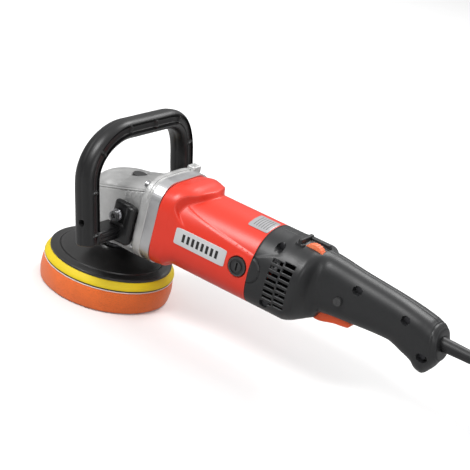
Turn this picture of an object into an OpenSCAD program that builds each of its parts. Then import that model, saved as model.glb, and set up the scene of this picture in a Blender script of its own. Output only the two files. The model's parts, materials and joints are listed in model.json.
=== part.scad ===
// Rotary polisher with a loop handle, a hook-and-loop foam pad and a mains lead.
// Millimetres. Origin: on the spindle axis at the working face of the foam pad.
// +Z runs up the spindle, +X runs aft along the motor, +Y is the far side.

/* [Polishing head] */
// Radius of the foam pad
pad_r = 76; // [60:1:92]
// Thickness of the foam
foam_h = 24; // [15:1:40]
// Thickness of the loop cloth on the foam
loop_h = 3; // [1.5:0.5:5]
// Thickness of the hook layer under the cushion disc
hook_h = 1.5; // [1:0.5:3]
// Radius of the cushion disc at its hook face
disc_r = 75; // [60:1:90]
// Thickness of the cushion disc
disc_h = 8.5; // [6:0.5:14]
// How much smaller the cushion disc is at its top
disc_taper = 4.6; // [0:0.2:8]
// Thickness of the backing plate at its rim
rim_h = 3; // [2:0.5:5]
// Radius of the backing plate's hub
hub_r = 20; // [17:1:26]
// Height of the hub above the cushion disc
hub_h = 18; // [15:1:26]

/* [Spindle] */
// Radius of the threaded spindle nose
nose_r = 7; // [6:0.5:8]
// Radius of the spindle in its lower bearing
spindle_r = 6; // [5:0.5:7]
// Radius of the spindle in its upper bearing
spindle_top_r = 4; // [3:0.5:5]
// Thickness of the spindle collar
collar_h = 4.5; // [3:0.5:7]

/* [Gears] */
// Pressure angle of every gear
pressure = 20; // [18:0.5:25]
// Backlash taken off each tooth
backlash = 0.16; // [0.08:0.02:0.3]
// Outer module of the bevel pair
bevel_m = 1.6; // [1.4:0.1:1.8]
// Face width of the bevel pair
bevel_face = 9; // [7:0.5:10]
// Teeth on the crown gear
crown_teeth = 36; // [36:1:36]
// Teeth on the bevel pinion
bevel_teeth = 12; // [12:1:12]
// Module of the reduction pair
spur_m = 1; // [0.9:0.05:1.1]
// Face width of the reduction gear
spur_face = 10; // [7:1:12]
// Teeth on the reduction gear
reduction_teeth = 30; // [30:1:30]
// Teeth cut on the armature shaft
armature_teeth = 10; // [10:1:10]

/* [Motor] */
// Height of the motor axis above the pad's face
motor_z = 115; // [112:1:130]
// Outer radius of the motor barrel
barrel_r = 44; // [42:1:52]
// Wall of the motor barrel
barrel_wall = 4.4; // [3:0.2:5]
// Where the motor housing starts
motor_x = 74; // [72:1:80]
// Length of the motor housing
motor_l = 121; // [118:1:150]
// Length of the stator and armature stacks
stack_l = 50; // [40:1:60]
// Radius of the armature stack
armature_r = 20.8; // [17:0.2:22]
// Radial air gap
air_gap = 0.8; // [0.4:0.1:1.5]
// Radius of the brush caps
cap_r = 10.3; // [9:0.1:11]
// Distance of the brushes ahead of the motor housing's end
brush_back = 14; // [13:0.5:16]

/* [Gear housing] */
// Radius of the gear housing around the spindle
gear_house_r = 37.5; // [36:0.5:42]
// Half width of the flange
flange_w = 48; // [46:0.5:56]
// Height of the flange above the motor axis
flange_up = 48; // [46:0.5:56]
// Thickness of the gear housing's flange
flange_t = 11; // [9:0.5:12]
// Thickness of the gearbox plate
plate_t = 12; // [11:0.5:14]

/* [Rear handle] */
// Length of the vented part
vent_l = 52; // [46:1:58]
// Length of the whole rear handle
handle_l = 208; // [200:1:235]
// Half width of the grip
grip_w = 21; // [18:0.5:25]
// Wall of the handle shells
shell_wall = 2.8; // [2:0.2:3.4]
// Width of the trigger
trigger_w = 13; // [10:0.5:16]
// Radius of the speed dial
dial_r = 13; // [11:0.5:14]

/* [Loop handle] */
// Half distance between the legs
loop_w = 89; // [80:1:104]
// Height of the top bar's centre
loop_top = 199; // [185:1:220]
// Corner radius of the loop
loop_corner = 52; // [35:1:60]
// Section half size across the leg
loop_a = 11; // [9:0.5:13]
// Section half size along the tool
loop_b = 13; // [10:0.5:15]
// Forward lean of the legs per unit of height
loop_lean = 0.285; // [0.1:0.01:0.32]

/* [Cord] */
// Diameter of the mains lead
cord_d = 8; // [7:0.5:9]
// Length of the cord guard
guard_l = 48; // [35:1:60]
// Radius of the cord guard at the handle
guard_r = 7.5; // [6:0.5:9]
// Mean radius of the stored coil
coil_r = 44; // [40:1:50]

/* [Hidden] */

// Fits
seat = 0.02;        // a ring pressed or bonded in its seat
run = 0.04;         // radial clearance of a running fit
slide = 0.12;       // radial clearance of a button in its hole
gap = 0.3;          // clearance between parts that only pass each other
cut = 1;            // how far a cutter runs past the face it opens
$fn = 64;

// Stack of the head, from the pad's face upwards
z_loop = foam_h;
z_hook = z_loop + loop_h;
z_disc = z_hook + hook_h;
z_rim = z_disc + disc_h;
z_hub = z_rim + hub_h;
plate_r = disc_r - disc_taper - 0.4;
insert_r = nose_r + 4;
nose_depth = 13;
z_collar = z_hub + collar_h;

// Lower bearing and its box under the gear housing
lower_ro = 16;
lower_h = 10;
box_lip = 2;
z_box = z_collar + 1;
z_lower = z_box + box_lip;
z_floor = z_lower + lower_h;
box_flange_r = 31;
box_nose_r = 21;
box_flange_t = 6.5;
box_screw_grip = 4;
box_screw_ring = 26;

// Bevel pair: the apex lies where the shaft crosses the spindle
centre_drop = spur_m * (armature_teeth + reduction_teeth) / 2;
shaft_z = motor_z - centre_drop;
crown_angle = atan(crown_teeth / bevel_teeth);
bevel_angle = 90 - crown_angle;
crown_pitch_r = bevel_m * crown_teeth / 2;
bevel_pitch_r = bevel_m * bevel_teeth / 2;
cone_l = sqrt(crown_pitch_r * crown_pitch_r + bevel_pitch_r * bevel_pitch_r);
toe = (cone_l - bevel_face) / cone_l;
bevel_add = 0.9;
bevel_ded = 1.2;
z_crown_back = z_floor + 4.5;
chamber_r = crown_pitch_r + 4.2;
z_chamber = z_floor + 3.5;
z_ceiling = shaft_z + bevel_pitch_r + 3.4;
web_top = shaft_z - toe * (bevel_pitch_r + bevel_ded * bevel_m * sin(crown_angle));
lock_x = 13;
lock_pin_r = 2.5;
lock_hole_r = 3;
lock_travel = 6;
lock_rest = web_top + 2.2;
lock_cap_r = 8;
lock_cap_h = 8;
z_lock_cap = lock_rest + 45.6;
lock_spring_h = 13.5;

// Upper spindle bearing
needle_ro = spindle_top_r + 2;
needle_h = 8;
z_upper = z_ceiling + 0.5;

// Intermediate shaft
shaft_r = 5;
shaft_end_r = 4;
shaft_ring_ro = 13;
shaft_ring_h = 8;
shaft_ring_x = chamber_r;
x_gear_room = shaft_ring_x + shaft_ring_h + 2;
x_flange = motor_x - plate_t - flange_t;
x_plate = motor_x - plate_t;
x_reduction = x_plate - spur_face - 6;
x_end_ring = x_plate + 2;
end_ring_h = 7;
pinion_bore_r = 4;
heel_x = crown_pitch_r + bevel_ded * bevel_m * sin(bevel_angle);

// Armature and its bearings
arm_front_r = 4;
arm_front_ro = 11;
arm_body_r = 5;
arm_rear_r = 3.5;
arm_rear_ro = 9.5;
arm_rear_h = 6;
motor_end = motor_x + motor_l;
barrel_ri = barrel_r - barrel_wall;
x_fan = motor_x + 5;
fan_w = 11;
fan_r = barrel_ri - 3.6;
x_baffle = x_fan + fan_w + 2;
baffle_t = 2.5;
x_stack = x_baffle + baffle_t + 4.5;
x_brush = motor_end - brush_back;
commutator_r = 12;
commutator_l = 17;
x_rear_ring = motor_end + 1.5;
rear_boss_r = 14;
label_t = 0.7;
stator_ri = armature_r + air_gap;
rear_wall = 5;
holder_w = 9;
holder_h = 12;
brush_w = 5;
brush_h = 8;
brush_l = 14;
cap_out = barrel_r + 1.6;
cap_flange = 4.5;

// Flange and its screws
flange_corner = 25;
screw_y = flange_w - 11;
screw_z = flange_up - 11;
screw_r = 2.5;
screw_head_r = 4.2;
screw_head_h = 4;
screw_l = flange_t + plate_t + 12;
flange_down = flange_up + 1;
house_back_w = 40;
house_back_low = z_floor + 1.5;
house_back_top = motor_z + 35;

// Loop handle
loop_foot_z = 81;
loop_knee_z = 140;
loop_mid_z = 130;
loop_mid_x = 11;
loop_back = 0.0035;
loop_channel = 4;
loop_channel_angle = 28;
bolt_x = 29;
bolt_z = 111;
bolt_r = 4;
bolt_head_r = 5.6;
bolt_head_h = 5.5;
washer_r = 6.8;
washer_t = 1.5;
boss_face = 41.5;
boss_r = 12;
pad_t = 11.5;
pad_front = 20;
pad_rear = 49;
pad_low = 80;
pad_high = 126;
arm_front = 13;
arm_rear = 34;
arm_low = 83;
arm_high = 98;
arm_start = 44;
bolt_in = 14;

// Rear handle
x_handle = motor_end;
x_tail = x_handle + handle_l;
x_grip = x_handle + vent_l + 15;
trigger_x = x_grip;
trigger_l = 43;
trigger_pivot_x = trigger_x + 7;
trigger_pivot_z = motor_z - 17;
trigger_pin_r = 2;
dial_x = x_handle + 51;
dial_y = -10;
dial_w = 8;
dial_z = motor_z + 33.5;
dial_pin_r = 2;
button_x = x_grip + 29;
button_z = motor_z + 4;
button_r = 4.5;
cord_z = motor_z + 3.5;
tail_lean = 0.25;
slot_w = 3.7;
slot_l = 12.6;
slot_pitch = 6.7;
slot_rows = 8;
slot_web = 1.4;
slot_step = 1.8;
slot_x = x_handle + 21.5;
slot_z = motor_z + 20.6;
shell_screw_r = 2;
shell_boss_r = 5;
shell_screws = [
  [x_handle + 21, motor_z + 34, 22], [x_handle + 24, motor_z - 27, 33],
  [x_handle + 112, motor_z + 23, 12], [x_tail - 37, motor_z + 17, 13],
  [x_tail - 11, motor_z - 12, 13]
];
clamp_x = x_tail - 26;

// Cord: straight from the guard, down to the floor and on to the coil
coil_turns = 4;
coil_layers = 2;
coil_pitch = cord_d + 0.1;
coil_in = coil_r - coil_turns * coil_pitch / 2;
coil_out = coil_r + coil_turns * coil_pitch / 2;
coil_x = 578;
coil_y = coil_r + 1.5 * coil_pitch;
cord_route = [
  [450, 0, 118.5], [462, 0, 118.2], [474, 0, 116], [486, 0, 111], [496, 0, 103], [504, 0, 93],
  [510, 0, 81], [514, 0, 69], [518, 0, 57], [523, 0, 45], [530, 0, 34], [539, 0, 24],
  [549, 0, 15], [560, 0, 8.5], [570, 0, 5], [578, 0, 4.1]
];
lead_route = [
  [578, 108.4, 12], [566, 108.4, 11.5], [554, 108, 11], [543, 108, 11], [533, 108, 11]
];
plug_x = 533;
plug_y = 108;
plug_z = 11;
plug_l = 36;
plug_w = 17;
plug_boot_l = 16;
pin_r = 2.4;
pin_l = 19;
pin_half_gap = 9.5;

// A solid through a list of rings with equal numbers of points
module loft(rings) {
  n = len(rings[0]);
  last = (len(rings) - 1) * n;
  sides = [
    for (k = [0 : len(rings) - 2]) for (i = [0 : n - 1]) for (half = [0, 1])
      let (a = k * n + i, b = k * n + (i + 1) % n)
      half == 0 ? [a, b, b + n] : [a, b + n, a + n]
  ];
  caps = [[for (i = [n - 1 : -1 : 0]) i], [for (i = [0 : n - 1]) last + i]];
  polyhedron(points = [for (ring = rings) each ring], faces = concat(sides, caps), convexity = 8);
}

function unit(v) = v / norm(v);
function sgn_pow(v, p) = sign(v) * pow(abs(v), p);

// Direction of a route at point i
function along(route, i) =
  unit(route[min(i + 1, len(route) - 1)] - route[max(i - 1, 0)]);

// Ring of a section around a route's point; side is never parallel to the route
function route_ring(route, i, section, side) =
  let (t = along(route, i), e1 = unit(cross(side, t)), e2 = cross(t, e1))
  [for (p = section) route[i] + p[0] * e1 + p[1] * e2];

module swept(route, section, side) {
  loft([for (i = [len(route) - 1 : -1 : 0]) route_ring(route, i, section, side)]);
}

function round_section(r, n) = [for (i = [0 : n - 1]) r * [cos(360 * i / n), sin(360 * i / n)]];

// Ring across the motor axis: superellipse with its own power above and below
function body_ring(x, low, high, half, up, down, n = 48) =
  let (mid = (low + high) / 2, h = (high - low) / 2)
  [for (i = [0 : n - 1])
    let (a = -360 * (i + 0.5) / n, p = sin(a) > 0 ? up : down)
    [x, half * sgn_pow(cos(a), 2 / p), mid + h * sgn_pow(sin(a), 2 / p)]];

module ring(ro, ri, h) {
  difference() {
    cylinder(r = ro, h = h);
    translate([0, 0, -cut]) cylinder(r = ri, h = h + 2 * cut);
  }
}

// A cylinder along +X or +Y
module rod_x(r, l) rotate([0, 90, 0]) cylinder(r = r, h = l);
module rod_y(r, l) rotate([-90, 0, 0]) cylinder(r = r, h = l);

module ring_x(ro, ri, l) rotate([0, 90, 0]) ring(ro, ri, l);

// Ring sector along X, centred on angle mid in the YZ plane
module sector_x(r1, r2, l, mid, spread)
  rotate([mid, 0, 0]) rotate([90, 0, 90]) rotate([0, 0, -spread / 2])
    rotate_extrude(angle = spread) translate([r1, 0]) square([r2 - r1, l]);

module helix_spring(r, wire, turns, h) {
  steps = turns * 12;
  route = [for (i = [0 : steps])
    [r * cos(30 * i), r * sin(30 * i), wire + (h - 2 * wire) * i / steps]];
  swept(route, round_section(wire, 6), [0, 0, 1]);
}

// Involute tooth outline of a gear: radius and polar angle pairs, one tooth centred on 0
function inv(a) = tan(a) - a * PI / 180;
function flank_angle(r, rb) = r <= rb ? 0 : acos(rb / r);
function half_tooth(pitch_r, m, shift) =
  (PI * m / 2 + 2 * shift * m * tan(pressure) - backlash) / (2 * pitch_r);
function tooth_side(r, pitch_r, m, shift) =
  let (rb = pitch_r * cos(pressure))
  (half_tooth(pitch_r, m, shift) + inv(pressure) - inv(flank_angle(r, rb))) * 180 / PI;
function tooth_radii(pitch_r, m, add, ded) =
  let (rb = pitch_r * cos(pressure), root = pitch_r - ded * m, tip = pitch_r + add * m,
       start = max(root, rb))
  concat([root], [for (k = [0 : 4]) start + (tip - start) * k / 4]);
function tooth_outline(pitch_r, m, add, ded, shift) =
  let (radii = tooth_radii(pitch_r, m, add, ded))
  concat([for (r = radii) [r, -tooth_side(r, pitch_r, m, shift)]],
         [for (k = [len(radii) - 1 : -1 : 0]) [radii[k], tooth_side(radii[k], pitch_r, m, shift)]]);

module spur_gear(teeth, m, l, add, ded, shift, turn) {
  outline = tooth_outline(m * teeth / 2, m, add, ded, shift);
  linear_extrude(l)
    polygon([for (t = [0 : teeth - 1]) for (p = outline)
      let (a = 360 * t / teeth + p[1] + turn) p[0] * [cos(a), sin(a)]]);
}

// Bevel teeth: the outline of the virtual gear on the back cone, drawn in to the apex at 0
module bevel_gear(teeth, m, cone, turn) {
  pitch_r = m * teeth / 2;
  virtual_r = pitch_r / cos(cone);
  outline = tooth_outline(virtual_r, m, bevel_add, bevel_ded, 0);
  deep = pitch_r / tan(cone);
  heel = [for (t = [0 : teeth - 1]) for (p = outline)
    let (a = 360 * t / teeth + p[1] / cos(cone) + turn, up = p[0] - virtual_r,
         r = pitch_r + up * cos(cone))
    [r * cos(a), r * sin(a), deep - up * sin(cone)]];
  n = len(heel);
  floor_z = deep + bevel_ded * m * sin(cone);
  points = concat(heel, toe * heel, [[0, 0, floor_z], [0, 0, toe * floor_z]]);
  sides = [for (i = [0 : n - 1]) for (half = [0, 1])
    let (j = (i + 1) % n) half == 0 ? [i, j, n + j] : [i, n + j, n + i]];
  heel_cap = [for (i = [0 : n - 1]) [(i + 1) % n, i, 2 * n]];
  toe_cap = [for (i = [0 : n - 1]) [n + i, n + (i + 1) % n, 2 * n + 1]];
  polyhedron(points = points, faces = concat(sides, heel_cap, toe_cap), convexity = 10);
}

// ---- Polishing head ----
module foam_pad() {
  color("orangered") rotate_extrude()
    polygon([[0, 0], [pad_r - 2.5, 0], [pad_r - 0.7, 1], [pad_r, 3.5], [pad_r, foam_h - 3],
      [pad_r - 0.6, foam_h - 1], [pad_r - 1.4, foam_h], [0, foam_h]]);
}
module pad_loop_layer() {
  color("mistyrose") translate([0, 0, z_loop]) cylinder(r = pad_r - 1.2, h = loop_h);
}
module hook_layer() {
  color("dimgray") translate([0, 0, z_hook]) cylinder(r = disc_r - 1, h = hook_h);
}
module cushion_disc() {
  color("gold") translate([0, 0, z_disc])
    cylinder(r1 = disc_r, r2 = disc_r - disc_taper, h = disc_h);
}
module backing_plate() {
  groove_r = plate_r - 10.5;
  color("darkslategray") rotate_extrude()
    polygon([[insert_r + seat, z_rim], [plate_r, z_rim], [plate_r, z_rim + rim_h - 0.8],
      [plate_r - 1, z_rim + rim_h], [groove_r + 1.2, z_rim + rim_h + 1.6],
      [groove_r + 0.6, z_rim + rim_h + 0.6], [groove_r - 0.6, z_rim + rim_h + 0.7],
      [groove_r - 1.2, z_rim + rim_h + 2], [hub_r + 18, z_rim + 8.5], [hub_r + 6, z_rim + 12],
      [hub_r + 1, z_rim + 14.5], [hub_r, z_hub - 1], [hub_r - 1, z_hub], [insert_r + seat, z_hub]]);
}
module plate_insert() {
  color("silver") difference() {
    translate([0, 0, z_rim]) cylinder(r = insert_r, h = hub_h);
    translate([0, 0, z_hub - nose_depth - 1]) cylinder(r = nose_r + seat, h = nose_depth + 1 + cut);
  }
}

// ---- Spindle ----
module spindle() {
  color("lightsteelblue") {
    translate([0, 0, z_hub - nose_depth]) cylinder(r = nose_r, h = nose_depth);
    intersection() {
      translate([0, 0, z_hub]) cylinder(r = nose_r + 5, h = collar_h);
      translate([-nose_r - 3, -nose_r - cut - 5, z_hub])
        cube([2 * nose_r + 6, 2 * (nose_r + 5 + cut), collar_h]);
    }
    translate([0, 0, z_collar]) cylinder(r = spindle_r, h = web_top + 1 - z_collar);
    translate([0, 0, web_top]) cylinder(r = spindle_top_r, h = z_upper + needle_h - web_top - 1);
  }
}
module crown_gear() {
  color("slategray") difference() {
    union() {
      translate([0, 0, shaft_z]) rotate([180, 0, 0])
        bevel_gear(crown_teeth, bevel_m, crown_angle, 180 / crown_teeth);
      translate([0, 0, z_crown_back])
        cylinder(r = crown_pitch_r - 2, h = web_top - 3 - z_crown_back);
    }
    translate([0, 0, z_crown_back - cut]) cylinder(r = spindle_r + seat, h = shaft_z);
    for (a = [0 : 90 : 270])
      rotate([0, 0, a]) translate([lock_x, 0, z_crown_back - cut])
        cylinder(r = lock_hole_r, h = shaft_z - z_crown_back);
  }
}
module spindle_spacer() {
  color("silver") translate([0, 0, z_floor])
    ring(spindle_r + 3, spindle_r + seat, z_crown_back - z_floor);
}
module lower_bearing_inner() {
  color("gainsboro") translate([0, 0, z_lower])
    ring((spindle_r + lower_ro) / 2 - gap / 2, spindle_r + seat, lower_h);
}
module lower_bearing_outer() {
  color("silver") translate([0, 0, z_lower])
    ring(lower_ro, (spindle_r + lower_ro) / 2 + gap / 2, lower_h);
}
module needle_bearings() {
  color("silver") {
    translate([0, 0, z_upper]) ring(needle_ro, spindle_top_r + run, needle_h);
    translate([x_end_ring, 0, shaft_z]) ring_x(needle_ro, shaft_end_r + run, needle_h);
  }
}
module dust_seal() {
  color("dimgray") translate([0, 0, z_box]) ring(spindle_r + 6, spindle_r + gap, box_lip);
}
module bearing_box() {
  color("lightgray") difference() {
    union() {
      translate([0, 0, z_floor - box_flange_t]) cylinder(r = box_flange_r, h = box_flange_t);
      translate([0, 0, z_box]) cylinder(r = box_nose_r, h = z_floor - z_box);
    }
    translate([0, 0, z_box - cut]) cylinder(r = spindle_r + 6 + seat, h = 2 * lower_h);
    translate([0, 0, z_lower]) cylinder(r = lower_ro + seat, h = lower_h + cut);
    box_screw_places() cylinder(r = 2 + seat, h = 2 * lower_h);
  }
}
module box_screw_places() {
  for (a = [45 : 90 : 315])
    rotate([0, 0, a]) translate([box_screw_ring, 0, z_box]) children();
}
module bearing_box_screws() {
  head_z = z_floor - box_flange_t - z_box - 2.4;
  color("silver") box_screw_places() {
    translate([0, 0, head_z]) cylinder(r = 3.6, h = 2.4);
    translate([0, 0, head_z]) cylinder(r = 2, h = 2.4 + box_flange_t + box_screw_grip);
  }
}

// ---- Gear housing ----
module flange_plate(x, t, w, up, down, corner) {
  hull() for (y = [-1, 1]) {
    translate([x, y * (w - corner), motor_z + up - corner]) rod_x(corner, t);
    translate([x, y * (w - corner), motor_z - down + corner]) rod_x(corner, t);
  }
}
module flange_screw_places() {
  for (y = [-1, 1]) for (z = [-1, 1])
    translate([x_flange, y * screw_y, motor_z + z * screw_z]) children();
}
module gear_housing_outside() {
  r = gear_house_r;
  top = motor_z + 18;
  hull() {
    rotate_extrude()
      polygon([[0, z_floor], [r - 4, z_floor], [r - 0.5, z_floor + 3], [r, motor_z - 3],
        [r - 2, motor_z + 6], [r - 7, motor_z + 13], [r - 14, top - 2], [0, top]]);
    for (y = [-1, 1]) {
      translate([x_flange - 1, y * (house_back_w - flange_corner), house_back_top - flange_corner])
        rod_x(flange_corner, 1);
      translate([x_flange - 1, y * (house_back_w - flange_corner), house_back_low + flange_corner])
        rod_x(flange_corner, 1);
    }
  }
}
module gear_housing() {
  color("darkgray") difference() {
    union() {
      gear_housing_outside();
      flange_plate(x_flange, flange_t, flange_w, flange_up, flange_down, flange_corner);
      for (side = [-1, 1])
        translate([bolt_x, side > 0 ? 0 : -boss_face, bolt_z]) rod_y(boss_r, boss_face);
    }
    // Crown chamber, its ceiling bores and the floor over the lower bearing
    translate([0, 0, z_chamber]) cylinder(r = chamber_r, h = z_ceiling - z_chamber);
    translate([0, 0, z_floor - cut]) cylinder(r = lower_ro - 2, h = z_chamber);
    translate([0, 0, z_ceiling - cut]) cylinder(r = needle_ro + seat, h = needle_h + 1 + cut);
    translate([lock_x, 0, z_ceiling - cut]) cylinder(r = lock_pin_r + slide, h = motor_z);
    translate([lock_x, 0, z_lock_cap - lock_spring_h])
      cylinder(r = lock_pin_r + 3.4, h = motor_z);
    translate([lock_x, 0, z_lock_cap - lock_travel - 1.5])
      cylinder(r = lock_cap_r + slide, h = motor_z);
    // Seat of the shaft bearing and the room of the reduction gears
    translate([0, 0, shaft_z]) {
      rod_x(shaft_ring_ro + seat, shaft_ring_x + shaft_ring_h);
      rod_x(shaft_ring_ro - 2, x_gear_room + cut);
      translate([x_gear_room, 0, 0]) rod_x(spur_m * reduction_teeth / 2 + 3, motor_x);
    }
    translate([x_gear_room, 0, motor_z]) rod_x(spur_m * armature_teeth / 2 + 5, motor_x);
    // Threaded holes for the loop handle, the flange and the bearing box
    for (side = [-1, 1])
      translate([bolt_x, side > 0 ? boss_face - bolt_in : -boss_face - cut, bolt_z])
        rod_y(bolt_r + seat, bolt_in + cut);
    flange_screw_places() translate([-flange_t, 0, 0]) rod_x(screw_r + seat, 3 * flange_t);
    box_screw_places() cylinder(r = 2 + seat, h = z_floor - z_box + box_screw_grip + 1);
  }
}
module gearbox_plate() {
  color("silver") difference() {
    flange_plate(x_plate, plate_t, flange_w - 0.6, flange_up - 0.6, flange_down - 0.6,
      flange_corner - 0.6);
    translate([x_plate - cut, 0, motor_z]) {
      rod_x(arm_front_ro - 2, plate_t);
      translate([cut + 2, 0, 0]) rod_x(arm_front_ro + seat, plate_t);
    }
    translate([x_plate - cut, 0, shaft_z]) rod_x(needle_ro + seat, cut + 2 + needle_h);
    flange_screw_places() rod_x(screw_r + seat, flange_t + plate_t + cut);
  }
}
module flange_screws() {
  color("silver") flange_screw_places() difference() {
    union() {
      translate([-screw_head_h, 0, 0]) rod_x(screw_head_r, screw_head_h);
      translate([-screw_head_h, 0, 0]) rod_x(screw_r, screw_head_h + screw_l);
    }
    translate([-screw_head_h - cut, 0, 0]) rotate([0, 90, 0])
      cylinder(r = 2.3, h = cut + 2.5, $fn = 6);
  }
}

// ---- Intermediate shaft ----
module bevel_pinion() {
  color("slategray") translate([0, 0, shaft_z]) difference() {
    rotate([0, 90, 0]) bevel_gear(bevel_teeth, bevel_m, bevel_angle, 0);
    translate([toe * crown_pitch_r - 3, 0, 0]) rod_x(pinion_bore_r + seat, crown_pitch_r);
  }
}
module intermediate_shaft() {
  color("lightsteelblue") translate([0, 0, shaft_z]) {
    translate([toe * crown_pitch_r - 0.5, 0, 0]) rod_x(pinion_bore_r, crown_pitch_r);
    translate([heel_x + seat, 0, 0]) rod_x(shaft_r + 1.5, shaft_ring_x - heel_x - seat);
    translate([shaft_ring_x - 1, 0, 0]) rod_x(shaft_r, x_reduction + spur_face + 1 - shaft_ring_x);
    translate([x_reduction, 0, 0]) rod_x(shaft_end_r, x_end_ring + needle_h - 1 - x_reduction);
  }
}
module reduction_gear() {
  color("slategray") translate([x_reduction, 0, shaft_z]) rotate([0, 90, 0]) difference() {
    spur_gear(reduction_teeth, spur_m, spur_face, 0.6, 1.5, -0.4, 180);
    translate([0, 0, -cut]) cylinder(r = shaft_r + seat, h = spur_face + 2 * cut);
  }
}
module pinion_bearing_inner() {
  color("gainsboro") translate([shaft_ring_x, 0, shaft_z])
    ring_x((shaft_r + shaft_ring_ro) / 2 - gap / 2, shaft_r + seat, shaft_ring_h);
}
module pinion_bearing_outer() {
  color("silver") translate([shaft_ring_x, 0, shaft_z])
    ring_x(shaft_ring_ro, (shaft_r + shaft_ring_ro) / 2 + gap / 2, shaft_ring_h);
}

// ---- Armature ----
module armature_shaft() {
  color("lightsteelblue") translate([0, 0, motor_z]) {
    translate([x_reduction - 1, 0, 0]) rotate([0, 90, 0])
      spur_gear(armature_teeth, spur_m, spur_face + 2, 1.4, 0.8, 0.4, 180 / armature_teeth);
    translate([x_reduction - 1, 0, 0]) rod_x(arm_front_r, motor_x - x_reduction);
    translate([x_end_ring + end_ring_h, 0, 0])
      rod_x(arm_body_r, x_rear_ring - x_end_ring - end_ring_h);
    translate([x_rear_ring - 1, 0, 0]) rod_x(arm_rear_r, arm_rear_h + 2);
  }
}
module armature_core() {
  color("dimgray") translate([x_stack, 0, motor_z]) difference() {
    rod_x(armature_r, stack_l);
    translate([-cut, 0, 0]) rod_x(arm_body_r + seat, stack_l + 2 * cut);
    for (a = [0 : 30 : 330])
      rotate([a, 0, 0]) translate([-cut, -1.6, armature_r - 9]) cube([stack_l + 2 * cut, 3.2, 10]);
  }
}
module armature_windings() {
  color("peru") translate([x_stack, 0, motor_z]) {
    translate([-3.6, 0, 0]) ring_x(armature_r - 2.2, arm_body_r + seat, 3.6);
    translate([stack_l, 0, 0]) ring_x(armature_r - 2.2, arm_body_r + seat, 8);
    for (a = [0 : 30 : 330])
      rotate([a, 0, 0]) translate([-1, -1.5, armature_r - 8.9]) cube([stack_l + 2, 3, 6.4]);
  }
}
module commutator() {
  color("peru") translate([x_brush - commutator_l / 2, 0, motor_z]) difference() {
    rod_x(commutator_r, commutator_l);
    translate([-cut, 0, 0]) rod_x(arm_body_r + seat, commutator_l + 2 * cut);
    for (a = [0 : 15 : 345])
      rotate([a, 0, 0]) translate([-cut, -0.3, commutator_r - 1]) cube([commutator_l - 2, 0.6, 2]);
  }
}
module cooling_fan() {
  blades = 12;
  color("whitesmoke") translate([x_fan, 0, motor_z]) difference() {
    union() {
      rod_x(fan_r, 2.2);
      rod_x(arm_body_r + 5, fan_w);
      for (k = [0 : blades - 1])
        rotate([360 * k / blades, 0, 0]) translate([1, -0.9, 16]) cube([fan_w - 1, 1.8, fan_r - 16.6]);
    }
    translate([-cut, 0, 0]) rod_x(arm_body_r + seat, fan_w + 2 * cut);
  }
}
module armature_bearing_inners() {
  color("gainsboro") translate([0, 0, motor_z]) {
    translate([x_end_ring, 0, 0])
      ring_x((arm_front_r + arm_front_ro) / 2 - gap / 2, arm_front_r + seat, end_ring_h);
    translate([x_rear_ring, 0, 0])
      ring_x((arm_rear_r + arm_rear_ro) / 2 - gap / 2, arm_rear_r + seat, arm_rear_h);
  }
}
module armature_bearing_outers() {
  color("silver") translate([0, 0, motor_z]) {
    translate([x_end_ring, 0, 0])
      ring_x(arm_front_ro, (arm_front_r + arm_front_ro) / 2 + gap / 2, end_ring_h);
    translate([x_rear_ring, 0, 0])
      ring_x(arm_rear_ro, (arm_rear_r + arm_rear_ro) / 2 + gap / 2, arm_rear_h);
  }
}

// ---- Motor housing ----
// Outside of the motor housing, grown on every side
module motor_housing_outside(grow = 0) {
  low = motor_z - barrel_r - grow;
  high = motor_z + barrel_r + grow;
  w = flange_w + grow;
  r = barrel_r + grow;
  loft([
    body_ring(motor_x, motor_z - flange_down - grow, motor_z + flange_up + grow, w, 3.4, 3.4),
    body_ring(motor_x + 10, motor_z - flange_down - grow, motor_z + flange_up + 1 + grow, w, 3.2, 3.4),
    body_ring(motor_x + 18, motor_z - flange_down + 1 - grow, motor_z + flange_up + grow, w - 0.5, 3, 3.3),
    body_ring(motor_x + 24, low - 1, high + 2.6, w - 1.6, 2.7, 3.2),
    body_ring(motor_x + 30, low, high + 0.8, r + 1.2, 2.4, 3.1),
    body_ring(motor_x + 38, low, high, r + 0.5, 2.2, 3),
    body_ring(motor_end, low, high, r + 0.5, 2.2, 2.8)
  ]);
}
// A label: the housing's own skin, thickened where the label lies
module label_on_housing(x, l) {
  difference() {
    intersection() {
      motor_housing_outside(label_t);
      translate([x, 0, 0]) children();
    }
    motor_housing_outside();
    translate([x - motor_l, -200, 0]) cube([motor_l, 400, 300]);
    translate([x + l, -200, 0]) cube([motor_l, 400, 300]);
  }
}
module brush_places() {
  for (side = [0, 180])
    translate([x_brush, 0, motor_z]) rotate([0, 0, side]) children();
}
module motor_housing() {
  color("tomato") difference() {
    union() {
      difference() {
        motor_housing_outside();
        translate([motor_x - cut, 0, motor_z]) rod_x(barrel_ri, motor_l + cut - rear_wall);
      }
      translate([motor_end - rear_wall, 0, motor_z]) rod_x(rear_boss_r, rear_wall + 10);
      brush_places() translate([0, barrel_r - 12, 0]) rod_y(cap_r + 2.5, 11);
    }
    translate([motor_end - rear_wall - cut, 0, motor_z]) rod_x(arm_body_r + 1, 3 * rear_wall);
    translate([x_rear_ring, 0, motor_z]) rod_x(arm_rear_ro + seat, 3 * rear_wall);
    for (a = [0 : 60 : 300])
      translate([motor_end - rear_wall - cut, 0, motor_z]) rotate([a + 30, 0, 0])
        translate([0, 0, 26]) rod_x(6.5, rear_wall + 2 * cut);
    brush_places() {
      translate([0, cap_out - cap_flange, 0]) rod_y(cap_r + seat, cap_flange + 8);
      translate([-holder_w / 2 - seat, 20, -holder_h / 2 - seat])
        cube([holder_w + 2 * seat, barrel_r, holder_h + 2 * seat]);
    }
    flange_screw_places() rod_x(screw_r + seat, screw_l + 1);
  }
}
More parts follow.
